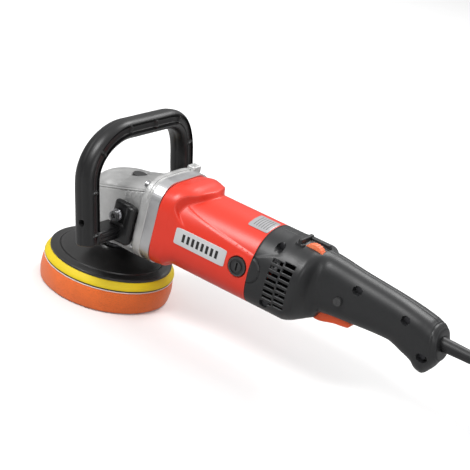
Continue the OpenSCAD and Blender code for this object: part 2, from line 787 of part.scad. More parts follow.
module fan_baffle() {
  color("dimgray") translate([x_baffle, 0, motor_z])
    ring_x(barrel_ri - seat, armature_r + 1.4, baffle_t);
}
module stator_slots(grow) {
  for (a = [62, 118, 242, 298])
    sector_x(stator_ri + 2.4 - grow, stator_ri + 12 + grow, stack_l + 2 * cut, a, 15 + 2 * grow);
}
module stator_core() {
  color("slategray") translate([x_stack, 0, motor_z]) difference() {
    rod_x(barrel_ri - seat, stack_l);
    translate([-cut, 0, 0]) rod_x(stator_ri, stack_l + 2 * cut);
    translate([-cut, 0, 0]) stator_slots(0.15);
  }
}
module field_coils() {
  color("peru") translate([x_stack, 0, motor_z]) for (top = [90, 270]) {
    for (x = [-3.5, stack_l])
      translate([x, 0, 0])
        sector_x(stator_ri + 2.4, stator_ri + 12, x < 0 ? 3.5 : 7, top - 90, 139);
    for (side = [-62, 62])
      translate([-1, 0, 0])
        sector_x(stator_ri + 2.7, stator_ri + 11.7, stack_l + 2, top - 90 + side, 14);
  }
}
module brush_holders() {
  color("goldenrod") brush_places() difference() {
    translate([-holder_w / 2, commutator_r + 3, -holder_h / 2])
      cube([holder_w, cap_out - cap_flange - commutator_r - 3, holder_h]);
    translate([-brush_w / 2 - slide, 0, -brush_h / 2 - slide])
      cube([brush_w + 2 * slide, barrel_r + cut, brush_h + 2 * slide]);
  }
}
module carbon_brushes() {
  color("darkslategray") brush_places()
    translate([-brush_w / 2, commutator_r + 0.1, -brush_h / 2]) cube([brush_w, brush_l, brush_h]);
}
module brush_springs() {
  start = commutator_r + 0.1 + brush_l;
  color("gainsboro") brush_places() translate([0, start, 0]) rotate([-90, 0, 0])
    helix_spring(1.9, 0.4, 4, cap_out - cap_flange - start);
}
module brush_caps() {
  color("black") brush_places() difference() {
    translate([0, cap_out - cap_flange, 0]) rod_y(cap_r, cap_flange);
    translate([0, cap_out - 1, 0]) difference() {
      rod_y(cap_r - 2, 1 + cut);
      translate([0, -cut, 0]) rod_y(cap_r - 4.6, 2 + 2 * cut);
    }
    translate([-1.1, cap_out - 1.8, -4.4]) cube([2.2, 1.8 + cut, 8.8]);
  }
}
module name_plate() {
  color("silver") label_on_housing(motor_x + 26.5, 65)
    translate([0, -100, motor_z - 8]) cube([65, 80, 19]);
}
module rating_plate() {
  color("silver") label_on_housing(x_brush - 13, 26)
    translate([0, -32, motor_z + 20]) cube([26, 34, 60]);
}

// ---- Rear handle ----
// The end face leans: its top stands further forward than its bottom
function leaned(ring, lean) = [for (p = ring) p - [lean * (p[2] - cord_z), 0, 0]];
function handle_rings(t) =
  let (low = motor_z - barrel_r + t, high = motor_z + barrel_r - t, xv = x_handle + vent_l,
       r = barrel_r + 0.5 - t, g = grip_w - t)
  [
    body_ring(x_handle - (t > 0 ? cut : 0), low, high, r, 2.2, 2.8),
    body_ring(xv - 10, low, high, r, 2.2, 2.8),
    body_ring(xv, low + 3.5, high - 0.3, r - 0.5, 2.3, 2.8),
    body_ring(xv + 6, low + 7, high - 0.8, r - 3.5, 2.4, 2.8),
    body_ring(xv + 11, low + 9, high - 1.4, r - 11, 2.4, 2.7),
    body_ring(x_grip, low + 11, high - 2, g + 7, 2.4, 2.7),
    body_ring(x_grip + 4, low + 14, high - 2.4, g + 2.5, 2.5, 2.8),
    body_ring(x_grip + 9, low + 22, high - 3, g + 1, 2.6, 2.9),
    body_ring(x_grip + 40, low + 25, high - 7, g - 0.5, 2.5, 2.7),
    body_ring(x_tail - 54, low + 28, high - 12, g - 0.5, 2.5, 2.6),
    body_ring(x_tail - 32, low + 22, high - 15.5, g, 2.7, 2.8),
    body_ring(x_tail - 22, low + 18, high - 17.5, g, 2.8, 2.8),
    body_ring(x_tail - 17, low + 13, high - 18.5, g, 2.8, 2.6),
    leaned(body_ring(x_tail - 12, low + 10.5, high - 19.5, g, 2.8, 2.5), tail_lean / 6),
    leaned(body_ring(x_tail - 8, low + 17, high - 20.5, g - 0.5, 2.8, 2.4), tail_lean / 2),
    leaned(body_ring(x_tail - 3 - t / 2, low + 26, high - 22, g - 1.5, 2.7, 2.4), tail_lean),
    leaned(body_ring(x_tail - t, low + 30, high - 25, g - 4, 2.6, 2.4), tail_lean)
  ];
module dial_guard() {
  top = motor_z + barrel_r + 4.5;
  hull() {
    translate([x_handle + 33, -4, top - 12]) cylinder(r = 2.5, h = 12, $fn = 32);
    translate([x_handle + 33, 5, top - 12]) cylinder(r = 2.5, h = 12, $fn = 32);
    translate([x_handle + 62, -2, top - 12]) cylinder(r = 2, h = 8, $fn = 32);
    translate([x_handle + 62, 4, top - 12]) cylinder(r = 2, h = 8, $fn = 32);
  }
  hull() {
    translate([x_handle + 33, -18, top - 14]) cylinder(r = 2.2, h = 11, $fn = 32);
    translate([x_handle + 33, 0, top - 12]) cylinder(r = 2.5, h = 12, $fn = 32);
  }
}
module vent_slots(side) {
  for (row = [0 : slot_rows - 1]) for (col = [0, 1])
    translate([slot_x + col * (slot_l + slot_web), side > 0 ? 20 : -20 - barrel_r,
      slot_z - row * slot_pitch + col * slot_step])
      cube([slot_l, barrel_r, slot_w]);
}
// Walls of one half, with the screw posts, the pin posts and every opening
module handle_shell(side) {
  difference() {
    union() {
      difference() {
        union() {
          loft(handle_rings(0));
          dial_guard();
        }
        loft(handle_rings(shell_wall));
      }
      intersection() {
        loft(handle_rings(0));
        for (s = shell_screws)
          translate([s[0], -60, s[1]]) rod_y(shell_boss_r, 120);
      }
      for (y = [-1, 1])
        translate([trigger_pivot_x, y > 0 ? trigger_w / 2 + gap : -grip_w + 1, trigger_pivot_z])
          rod_y(4.5, grip_w - 1 - trigger_w / 2 - gap);
    }
    translate([0, side > 0 ? -200 : 0, -cut]) cube([2 * x_tail, 200, 300]);
    vent_slots(side);
    for (s = shell_screws) {
      translate([s[0], -s[2] - 30, s[1]]) rod_y(4.2, 30 + seat);
      translate([s[0], -60, s[1]]) rod_y(shell_screw_r + seat, 70);
    }
    // Trigger, its pin, the lock-on button, the dial and the cord
    translate([trigger_x - 2.5, -trigger_w / 2 - gap, motor_z - 50])
      cube([trigger_l + 6.5, trigger_w + 2 * gap, 36]);
    translate([trigger_pivot_x, -grip_w + 4, trigger_pivot_z])
      rod_y(trigger_pin_r + seat, 2 * grip_w - 8);
    translate([button_x, -60, button_z]) rod_y(button_r + slide, 50);
    translate([dial_x, dial_y - dial_w / 2 - gap, dial_z]) rod_y(dial_r + gap, dial_w + 2 * gap);
    translate([x_tail - 12, 0, cord_z]) rod_x(guard_r + seat, 30);
    translate([clamp_x - 1, 0, cord_z]) rod_x(guard_r + seat, 30);
  }
}
module handle_shell_near() {
  color("dimgray") handle_shell(-1);
}
module handle_shell_far() {
  color("dimgray") handle_shell(1);
}
module handle_screws() {
  color("silver") for (s = shell_screws) {
    translate([s[0], -s[2] - 2.4, s[1]]) rod_y(3.8, 2.4);
    translate([s[0], -s[2] - 2.4, s[1]]) rod_y(shell_screw_r, s[2] + 11);
  }
}
module switch_body() {
  color("black") translate([x_grip + 8, -9, motor_z - 10.5]) cube([34, 18, 26]);
}
module speed_module() {
  color("darkgreen") {
    translate([dial_x - 12, dial_y + dial_w / 2 + 1, dial_z - 11]) cube([24, 12, 15]);
    translate([dial_x, dial_y - dial_w / 2 - 0.5, dial_z]) rod_y(dial_pin_r, dial_w + 2);
  }
}
module speed_dial() {
  ribs = 24;
  color("orange") translate([dial_x, dial_y - dial_w / 2, dial_z]) difference() {
    rod_y(dial_r, dial_w);
    translate([0, -cut, 0]) rod_y(dial_pin_r + run, dial_w + 2 * cut);
    for (k = [0 : ribs - 1])
      rotate([0, 360 * k / ribs, 0]) translate([dial_r, -cut, 0]) rod_y(0.6, dial_w + 2 * cut);
  }
}
module trigger() {
  low = motor_z - barrel_r + 10;
  color("orangered") difference() {
    translate([0, trigger_w / 2, 0]) rotate([90, 0, 0]) linear_extrude(trigger_w)
      polygon([[trigger_x, low + 3], [trigger_x + 2, low + 1], [trigger_x + 10, low + 1.5],
        [trigger_x + 24, low + 6], [trigger_x + 38, low + 7.5], [trigger_x + trigger_l, low + 9],
        [trigger_x + trigger_l, low + 16], [trigger_x + 10, low + 22], [trigger_x + 2, low + 20],
        [trigger_x, low + 16]]);
    translate([trigger_pivot_x, -trigger_w, trigger_pivot_z])
      rod_y(trigger_pin_r + run, 2 * trigger_w);
  }
}
module trigger_pin() {
  color("silver") translate([trigger_pivot_x, -grip_w + 4 + seat, trigger_pivot_z])
    rod_y(trigger_pin_r, 2 * (grip_w - 4 - seat));
}
module lock_on_button() {
  color("black") translate([button_x, -grip_w - 2.5, button_z]) rod_y(button_r, 10);
}
module cord_clamp() {
  color("dimgray") translate([clamp_x - 12, -8, cord_z - 7]) difference() {
    cube([10, 16, 14]);
    translate([-cut, 8, 7]) rod_x(cord_d / 2 + seat, 10 + 2 * cut);
  }
}

// ---- Cord ----
module cord_guard() {
  color("black") translate([clamp_x, 0, cord_z]) difference() {
    union() {
      rod_x(guard_r, x_tail - clamp_x);
      translate([x_tail - clamp_x - 0.5, 0, 0]) rotate([0, 90, 0])
        cylinder(r1 = guard_r, r2 = cord_d / 2 + 2.4, h = guard_l - 6);
    }
    translate([-cut, 0, 0]) rod_x(cord_d / 2 + seat, x_tail + guard_l);
  }
}
// The cord's two visible stretches, as tubes of any radius
module cord_tubes(r) {
  route = concat([[clamp_x - 14, 0, cord_z]], [[x_tail, 0, cord_z]], cord_route);
  swept(route, round_section(r, 10), unit([-1, 1, 1]));
  swept(lead_route, round_section(r, 10), unit([-1, 1, 1]));
}
module power_cord() {
  color("black") cord_tubes(cord_d / 2);
}
module cord_coil() {
  h = coil_layers * coil_pitch;
  c = 3;
  color("black") difference() {
    translate([coil_x, coil_y, 0]) rotate_extrude()
      polygon([[coil_in + c, 0], [coil_out - c, 0], [coil_out, c], [coil_out, h - c],
        [coil_out - c, h], [coil_in + c, h], [coil_in, h - c], [coil_in, c]]);
    cord_tubes(cord_d / 2 + 0.3);
  }
}
module plug_body() {
  color("black") translate([plug_x, plug_y, plug_z]) difference() {
    union() {
      rotate([0, -90, 0]) cylinder(r1 = cord_d / 2 + 1.2, r2 = cord_d / 2 + 3, h = plug_boot_l);
      hull() {
        translate([-plug_boot_l, 0, 0]) rotate([0, -90, 0]) cylinder(r = 8, h = 1, $fn = 32);
        for (y = [-1, 1])
          translate([-plug_boot_l - 10, y * (plug_w - 9), 0]) rotate([0, -90, 0])
            cylinder(r = 9, h = plug_l - plug_boot_l, $fn = 32);
      }
    }
    translate([1, 0, 0]) rotate([0, -90, 0]) cylinder(r = cord_d / 2 + seat, h = 11);
    for (y = [-1, 1])
      translate([-plug_l - 10 + 8, y * pin_half_gap, 0]) rotate([0, -90, 0])
        cylinder(r = pin_r + seat, h = 10);
  }
}
module plug_pins() {
  color("silver") for (y = [-1, 1])
    translate([plug_x - plug_l - 10 + 8, plug_y + y * pin_half_gap, plug_z]) rotate([0, -90, 0])
      cylinder(r = pin_r, h = pin_l + 8);
}

// ---- Loop handle ----
function loop_x(z) =
  loop_mid_x - loop_lean * (z - loop_mid_z) + loop_back * pow(max(0, z - loop_knee_z), 2);
function loop_half() = let (c = loop_corner, straight = loop_top - c - loop_foot_z) concat(
  [for (k = [0 : 5]) [-loop_w, loop_foot_z + straight * k / 5]],
  [for (k = [1 : 11]) [-loop_w + c - c * cos(90 * k / 11), loop_top - c + c * sin(90 * k / 11)]],
  [[-(loop_w - c) / 2, loop_top]]
);
function loop_route() = let (half = loop_half(), n = len(half)) [
  for (k = [0 : 2 * n]) let (p = k < n ? half[k] : k == n ? [0, loop_top] : half[2 * n - k],
    y = k > n ? -p[0] : p[0]) [loop_x(p[1]), y, p[1]]
];
function loop_section(n = 32) = [for (i = [0 : n - 1])
  let (a = 360 * (i + 0.5) / n, q = abs(a - 270) < loop_channel_angle ? loop_channel : 0)
  [loop_a * sgn_pow(cos(a), 0.8), loop_b * sgn_pow(sin(a), 0.8) + q]];
module loop_handle() {
  color("darkslategray") difference() {
    union() {
      swept(loop_route(), loop_section(), unit([1, 0, loop_lean]));
      for (side = [-1, 1]) {
        hull() for (x = [arm_front + 6, arm_rear - 6]) for (z = [arm_low + 6, arm_high - 6])
          translate([x, side > 0 ? arm_start : -loop_w + 1, z])
            rod_y(6, loop_w - 1 - arm_start, $fn = 32);
        hull() for (x = [pad_front + 9, pad_rear - 9]) for (z = [pad_low + 6, pad_high - 9])
          translate([x, side > 0 ? boss_face : -boss_face - pad_t, z])
            rod_y(z < bolt_z - 10 ? 6 : 9, pad_t, $fn = 32);
      }
    }
    for (side = [-1, 1]) {
      translate([bolt_x, side > 0 ? 0 : -loop_w, bolt_z]) rod_y(bolt_r + slide, loop_w);
      translate([loop_x(106), side > 0 ? loop_w + loop_a - 9 : -loop_w - loop_a - cut, 106])
        rod_y(3, 9 + cut);
    }
  }
}
module loop_handle_bolts() {
  color("silver") for (side = [0, 180])
    translate([bolt_x, 0, bolt_z]) rotate([0, 0, side]) translate([0, boss_face + pad_t, 0])
      difference() {
        union() {
          rod_y(washer_r, washer_t);
          rod_y(bolt_head_r, washer_t + bolt_head_h);
          translate([0, -pad_t - bolt_in + 1, 0]) rod_y(bolt_r, pad_t + bolt_in);
        }
        translate([0, washer_t + bolt_head_h - 4, 0]) rotate([-90, 0, 0])
          cylinder(r = 3.2, h = 4 + cut, $fn = 6);
      }
}

// ---- Spindle lock ----
module spindle_lock_button() {
  color("black") translate([lock_x, 0, z_lock_cap]) cylinder(r = lock_cap_r, h = lock_cap_h);
}
module spindle_lock_pin() {
  color("silver") translate([lock_x, 0, lock_rest]) {
    cylinder(r = lock_pin_r, h = z_lock_cap - lock_rest);
    translate([0, 0, z_ceiling - lock_rest - 2]) cylinder(r = lock_pin_r + 1.5, h = 1.5);
  }
}
module spindle_lock_spring() {
  color("gainsboro") translate([lock_x, 0, z_lock_cap - lock_spring_h])
    helix_spring(lock_pin_r + 1.8, 0.6, 4, lock_spring_h);
}

foam_pad();
pad_loop_layer();
hook_layer();
cushion_disc();
backing_plate();
plate_insert();
spindle();
crown_gear();
spindle_spacer();
lower_bearing_inner();
lower_bearing_outer();
needle_bearings();
bearing_box();
bearing_box_screws();
dust_seal();
gear_housing();
gearbox_plate();
flange_screws();
bevel_pinion();
intermediate_shaft();
reduction_gear();
pinion_bearing_inner();
pinion_bearing_outer();
armature_shaft();
armature_core();
armature_windings();
commutator();
cooling_fan();
armature_bearing_inners();
armature_bearing_outers();
motor_housing();
fan_baffle();
stator_core();
field_coils();
brush_holders();
carbon_brushes();
brush_springs();
brush_caps();
name_plate();
rating_plate();
handle_shell_near();
handle_shell_far();
handle_screws();
switch_body();
speed_module();
speed_dial();
trigger();
trigger_pin();
lock_on_button();
cord_clamp();
cord_guard();
power_cord();
cord_coil();
plug_body();
plug_pins();
loop_handle();
loop_handle_bolts();
spindle_lock_button();
spindle_lock_pin();
spindle_lock_spring();
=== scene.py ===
import json
import math

import bmesh
import bpy
import numpy as np
from bpy.props import FloatProperty, FloatVectorProperty, IntProperty, PointerProperty
from mathutils import Matrix, Vector


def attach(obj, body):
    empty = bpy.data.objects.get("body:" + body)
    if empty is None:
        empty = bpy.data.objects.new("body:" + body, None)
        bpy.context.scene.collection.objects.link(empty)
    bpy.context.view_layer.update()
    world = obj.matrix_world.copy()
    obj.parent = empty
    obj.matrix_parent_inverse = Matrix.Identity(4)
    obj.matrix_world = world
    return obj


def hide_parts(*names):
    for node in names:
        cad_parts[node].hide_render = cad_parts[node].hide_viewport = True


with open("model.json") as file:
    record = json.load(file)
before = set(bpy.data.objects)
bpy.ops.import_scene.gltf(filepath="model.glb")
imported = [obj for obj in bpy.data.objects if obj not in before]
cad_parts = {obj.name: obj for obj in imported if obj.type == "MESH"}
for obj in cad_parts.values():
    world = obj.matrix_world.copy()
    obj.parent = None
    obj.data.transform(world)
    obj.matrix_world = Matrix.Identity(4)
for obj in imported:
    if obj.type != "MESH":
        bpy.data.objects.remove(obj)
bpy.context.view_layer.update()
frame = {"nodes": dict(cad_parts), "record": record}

bl_info = {
    "name": "Rotary polisher",
    "version": (1, 0, 0),
    "blender": (4, 5, 0),
    "location": "View3D > Sidebar > Polisher",
    "description": "Builds the skins, finishes and studio of a rotary polisher round its CAD frame",
    "category": "Object",
}

MM = 0.001
AXIS_Z = 115.0          # height of the motor axis
X_TAIL, TAIL_LEAN, CORD_Z = 403.0, 0.25, 118.5
SLOT_PITCH, SLOT_LOW, SLOT_ROWS, SLOT_TALL, SLOT_STEP = 6.7, 88.7, 8, 3.7, 1.8
SLOT_X, SLOT_LONG, SLOT_GAP = 216.5, 12.6, 1.4
CORD_D, COIL_PITCH, COIL_CENTRE = 8.0, 8.1, (578.0, 56.15)
COIL_OUTER, COIL_TOP_END = 56.15, 52.25     # radius where the winding starts, and where its upper layer ends
LAYER_LOW, LAYER_HIGH = 4.1, 12.2           # heights of the two layers' centre lines
HOP_START, HOP_END, TURNS = 3.35, 3.6, 6.5  # counted in turns: between the first two it climbs a layer
SHELL_SCREWS = [(216, 149, 22), (219, 88, 33), (307, 138, 12), (366, 132, 13), (392, 103, 13)]


# ---------------------------------------------------------------- surfaces

def grid_faces(nu, nv, wrap_u=False, wrap_v=False):
    """Quads of a grid of nu by nv points, row after row; a wrapped way joins its last points to its first."""
    i = np.arange(nu if wrap_u else nu - 1)[:, None]
    j = np.arange(nv if wrap_v else nv - 1)[None, :]
    i2, j2 = (i + 1) % nu, (j + 1) % nv
    return np.stack(np.broadcast_arrays(i * nv + j, i * nv + j2, i2 * nv + j2, i2 * nv + j), -1)


def solid(name, parts, sharp=38.0, merge=0.004):
    """One object from (points in mm, quads, a point inside) parts: each part is turned outward by the sign of
    its volume about the inside point, then all are joined and doubled points merged."""
    points, faces, start = [], [], 0
    for p, f, inside in parts:
        p = np.asarray(p, float).reshape(-1, 3)
        f = np.asarray(f).reshape(-1, 4)
        a, b, c, d = (p[f[:, k]] - np.asarray(inside, float) for k in range(4))
        volume = (np.einsum("ij,ij->i", a, np.cross(b, c)) + np.einsum("ij,ij->i", a, np.cross(c, d))).sum()
        faces.append((f if volume > 0 else f[:, ::-1]) + start)
        points.append(p)
        start += len(p)
    mesh = bpy.data.meshes.new(name)
    mesh.from_pydata((np.concatenate(points) * MM).tolist(), [], np.concatenate(faces).tolist())
    bm = bmesh.new()
    bm.from_mesh(mesh)
    bmesh.ops.remove_doubles(bm, verts=bm.verts, dist=merge * MM)
    bmesh.ops.dissolve_degenerate(bm, edges=bm.edges, dist=merge * MM * 0.5)
    bm.to_mesh(mesh)
    bm.free()
    mesh.shade_smooth()
    mesh.set_sharp_from_angle(angle=math.radians(sharp))
    obj = bpy.data.objects.new(name, mesh)
    bpy.context.scene.collection.objects.link(obj)
    return obj


def smooth_step(t):
    """0 below 0, 1 above 1 and an S curve between."""
    t = np.clip(t, 0, 1)
    return t * t * (3 - 2 * t)


def bell(offset, width):
    """1 at no offset, falling to a trace at twice the width."""
    return np.exp(-(offset / width) ** 2)


def around(n):
    """n angles evenly round a full turn."""
    return np.linspace(0, 2 * np.pi, n, endpoint=False)


def signed_power(v, p):
    """v to a power with its sign kept."""
    return np.sign(v) * np.abs(v) ** p


def flow(xs, ys, x):
    """A curve through (xs, ys) that never overshoots: cubic pieces whose slopes are the harmonic means of the
    chords beside each point, and zero at a turn."""
    xs, ys, x = (np.asarray(v, float) for v in (xs, ys, x))
    h = np.diff(xs)
    d = np.diff(ys) / h
    m = np.zeros(len(xs))
    both = d[:-1] * d[1:] > 0
    m[1:-1][both] = 2 * d[:-1][both] * d[1:][both] / (d[:-1][both] + d[1:][both])
    m[0], m[-1] = d[0], d[-1]
    k = np.clip(np.searchsorted(xs, x) - 1, 0, len(h) - 1)
    t = np.clip((x - xs[k]) / h[k], 0, 1)
    return ((2 * t ** 3 - 3 * t ** 2 + 1) * ys[k] + (t ** 3 - 2 * t ** 2 + t) * h[k] * m[k]
            + (3 * t ** 2 - 2 * t ** 3) * ys[k + 1] + (t ** 3 - t ** 2) * h[k] * m[k + 1])


def revolve(profile, n=256):
    """A profile of (radius, height) turned about the spindle axis."""
    r, z = np.asarray(profile, float).T
    a = around(n)
    return np.stack([r[:, None] * np.cos(a), r[:, None] * np.sin(a), np.repeat(z[:, None], n, 1)], -1)


def rounded_block(low, high, r, n=24):
    """A box with fillets of radius r: each sphere normal's point is moved out to the box corner of its own
    signs."""
    low, high = np.asarray(low, float), np.asarray(high, float)
    centre, half = (low + high) / 2, (high - low) / 2 - r
    u = np.linspace(-np.pi / 2, np.pi / 2, n)[:, None]
    v = (np.arange(4 * (n // 4)) + 0.0)[None, :]
    quarter = n // 4
    turn = np.floor(v / quarter) * np.pi / 2 + (v % quarter) / max(quarter - 1, 1) * np.pi / 2
    normal = np.stack(np.broadcast_arrays(np.cos(u) * np.cos(turn), np.cos(u) * np.sin(turn), np.sin(u)), -1)
    corner_turn = np.floor(v / quarter) * np.pi / 2 + np.pi / 4
    sign = np.stack(np.broadcast_arrays(np.sign(np.cos(corner_turn)) + 0 * u,
                                        np.sign(np.sin(corner_turn)) + 0 * u,
                                        np.where(u < 0, -1.0, 1.0) + 0 * v), -1)
    p = centre + sign * half + normal * r
    count = p.shape[1]
    quads = grid_faces(n, count, False, True).reshape(-1, 4)
    q = count // 4
    caps = [[0, q, 2 * q, 3 * q], [(n - 1) * count + k for k in (3 * q, 2 * q, q, 0)]]
    return p, np.concatenate([quads, caps]), centre


def tube(points, section, side):
    """A section carried along a path: the first axis is across both the path and a side direction, the second
    completes the frame."""
    p = np.asarray(points, float)
    t = np.gradient(p, axis=0)
    t /= np.linalg.norm(t, axis=1)[:, None]
    e1 = np.cross(np.broadcast_to(np.asarray(side, float), t.shape), t)
    e1 /= np.linalg.norm(e1, axis=1)[:, None]
    e2 = np.cross(t, e1)
    s = np.broadcast_to(section, (len(p),) + np.shape(section)[-2:])
    return p[:, None, :] + s[..., 0:1] * e1[:, None, :] + s[..., 1:2] * e2[:, None, :]


def capped(rings, steps=4, inset=1.0, push=0.6):
    """Closes both ends of a tube of rings with a rounded edge and a flat middle that shrinks to a point."""
    def end(ring, before):
        centre = ring.mean(0)
        out = centre - before.mean(0)
        out /= np.linalg.norm(out)
        reach = np.linalg.norm(ring - centre, axis=1).mean()
        angles = np.linspace(0, np.pi / 2, steps + 1)[1:]
        rows = [centre + (ring - centre) * (1 - inset * (1 - np.cos(a)) / reach) + out * push
                * np.sin(a) for a in angles]
        last = rows[-1]
        rows += [centre + out * push + (last - centre - out * push) * k for k in (0.5, 0.0)]
        return rows
    first = end(rings[0], rings[1])[::-1]
    last = end(rings[-1], rings[-2])
    return np.concatenate([first, rings, last])


def tube_part(rings):
    return rings, grid_faces(len(rings), rings.shape[1], False, True), rings[len(rings) // 2].mean(0)


def body_section(x, low, high, half, up, down, angle):
    """Across the motor axis: y is half times cos and z the half height times sin, each raised to 2/power,
    with one power above the middle and another below."""
    power = np.where(np.sin(angle) > 0, up, down)
    mid, h = (low + high) / 2, (high - low) / 2
    y = half * signed_power(np.cos(angle), 2 / power)
    z = mid + h * signed_power(np.sin(angle), 2 / power)
    return np.stack(np.broadcast_arrays(x, y, z), -1)


# ---------------------------------------------------------------- finishes

def node_group(name, inputs, outputs):
    tree = bpy.data.node_groups.new(name, "ShaderNodeTree")
    for label, kind, default in inputs:
        socket = tree.interface.new_socket(label, in_out="INPUT", socket_type=kind)
        socket.default_value = default
    for label, kind in outputs:
        tree.interface.new_socket(label, in_out="OUTPUT", socket_type=kind)
    return tree, tree.nodes.new("NodeGroupInput"), tree.nodes.new("NodeGroupOutput")


def joined(tree, kind, settings=None, **links):
    """A node of a kind, with its settings and its sockets filled by values or by links; __ stands for a
    space."""
    node = tree.nodes.new(kind)
    for key, value in (settings or {}).items():
        setattr(node, key, value)
    for key, value in links.items():
        numbered = key[0] == "i" and key[1:].isdigit()
        socket = node.inputs[int(key[1:]) if numbered else key.replace("__", " ")]
        if isinstance(value, bpy.types.NodeSocket):
            tree.links.new(value, socket)
        else:
            socket.default_value = value
    return node


def grain_group():
    """Moulded or cast grain: two noises, one three times finer, and a slow patchiness for the gloss."""
    tree, given, out = node_group("Surface grain",
                                  [("Scale", "NodeSocketFloat", 900.0), ("Patches", "NodeSocketFloat", 25.0)],
                                  [("Height", "NodeSocketFloat"), ("Patch", "NodeSocketFloat")])
    place = joined(tree, "ShaderNodeTexCoord").outputs["Object"]
    fine = joined(tree, "ShaderNodeMath", {"operation": "MULTIPLY"}, i0=given.outputs["Scale"],
                  i1=2.9).outputs[0]
    a = joined(tree, "ShaderNodeTexNoise", Vector=place, Scale=given.outputs["Scale"],
               Detail=3.0).outputs["Fac"]
    b = joined(tree, "ShaderNodeTexNoise", Vector=place, Scale=fine, Detail=1.0).outputs["Fac"]
    height = joined(tree, "ShaderNodeMath", {"operation": "MULTIPLY_ADD"}, i0=b, i1=0.45, i2=a).outputs[0]
    patch = joined(tree, "ShaderNodeTexNoise", Vector=place, Scale=given.outputs["Patches"], Detail=5.0,
                   Roughness=0.62)
    tree.links.new(height, out.inputs["Height"])
    tree.links.new(patch.outputs["Fac"], out.inputs["Patch"])
    return tree


def wear_and_shade_group():
    """Worn edges where the surface turns outward sharply, broken up by noise, and painted shade where it
    turns inward.
    """
    tree, given, out = node_group("Edge wear",
                                  [("Start", "NodeSocketFloat", 0.53), ("End", "NodeSocketFloat", 0.62)],
                                  [("Edge", "NodeSocketFloat"), ("Hollow", "NodeSocketFloat")])
    place = joined(tree, "ShaderNodeTexCoord").outputs["Object"]
    turn = joined(tree, "ShaderNodeNewGeometry").outputs["Pointiness"]
    edge = joined(tree, "ShaderNodeMapRange", Value=turn, From__Min=given.outputs["Start"],
                  From__Max=given.outputs["End"])
    # The hollow mask: high where the surface turns inward; the finishes darken their hollows with it as
    # painted shade.
    hollow = joined(tree, "ShaderNodeMapRange", Value=turn, From__Min=0.49, From__Max=0.42)
    broken = joined(tree, "ShaderNodeTexNoise", Vector=place, Scale=260.0, Detail=4.0).outputs["Fac"]
    edge = joined(tree, "ShaderNodeMath", {"operation": "MULTIPLY"}, i0=edge.outputs[0], i1=broken)
    tree.links.new(edge.outputs[0], out.inputs["Edge"])
    tree.links.new(hollow.outputs[0], out.inputs["Hollow"])
    return tree


def cell_group():
    """Open foam: rounded cells of two sizes, with the pores where they meet darkened as painted shade."""
    tree, given, out = node_group("Foam cells", [("Scale", "NodeSocketFloat", 900.0)],
                                  [("Height", "NodeSocketFloat"), ("Pore", "NodeSocketFloat")])
    place = joined(tree, "ShaderNodeTexCoord").outputs["Object"]
    big = joined(tree, "ShaderNodeTexVoronoi", {"feature": "SMOOTH_F1"}, Vector=place,
                 Scale=given.outputs["Scale"]).outputs["Distance"]
    double = joined(tree, "ShaderNodeMath", {"operation": "MULTIPLY"}, i0=given.outputs["Scale"],
                    i1=2.3).outputs[0]
    small = joined(tree, "ShaderNodeTexVoronoi", Vector=place, Scale=double).outputs["Distance"]
    height = joined(tree, "ShaderNodeMath", {"operation": "MULTIPLY_ADD"}, i0=small, i1=0.5,
                    i2=big).outputs[0]
    # The pore mask, where cells meet: the finishes darken it as painted shade.
    pore_shade = joined(tree, "ShaderNodeMapRange", Value=height, From__Min=0.55, From__Max=0.95)
    tree.links.new(height, out.inputs["Height"])
    tree.links.new(pore_shade.outputs[0], out.inputs["Pore"])
    return tree


def line_group():
    """Machining or fibre lines: noise stretched along one axis by the Stretch vector."""
    tree, given, out = node_group("Drawn lines",
                                  [("Stretch", "NodeSocketVector", (1.0, 1.0, 40.0)),
                                   ("Scale", "NodeSocketFloat", 120.0)], [("Height", "NodeSocketFloat")])
    place = joined(tree, "ShaderNodeTexCoord").outputs["Object"]
    moved = joined(tree, "ShaderNodeVectorMath", {"operation": "MULTIPLY"}, i0=place,
                   i1=given.outputs["Stretch"]).outputs[0]
    noise = joined(tree, "ShaderNodeTexNoise", Vector=moved, Scale=given.outputs["Scale"], Detail=4.0)
    tree.links.new(noise.outputs["Fac"], out.inputs["Height"])
    return tree


GROUP_MAKERS = {"grain": grain_group, "wear": wear_and_shade_group, "cells": cell_group, "lines": line_group}
GROUPS = {}


def placed(tree, kind, **links):
    if kind not in GROUPS:
        GROUPS[kind] = GROUP_MAKERS[kind]()
    return joined(tree, "ShaderNodeGroup", {"node_tree": GROUPS[kind]}, **links)


def blend_colour(tree, factor, a, b):
    node = tree.nodes.new("ShaderNodeMix")
    node.data_type = "RGBA"
    for socket, value in ((node.inputs[0], factor), (node.inputs[6], a), (node.inputs[7], b)):
        if isinstance(value, bpy.types.NodeSocket):
            tree.links.new(value, socket)
        elif hasattr(value, "__len__"):
            socket.default_value = (*value[:3], 1.0)
        else:
            socket.default_value = value
    return node.outputs[2]


def spread(tree, value, low, high, start=0.3, end=0.7):
    return joined(tree, "ShaderNodeMapRange", Value=value, From__Min=start, From__Max=end, To__Min=low,
                  To__Max=high).outputs[0]


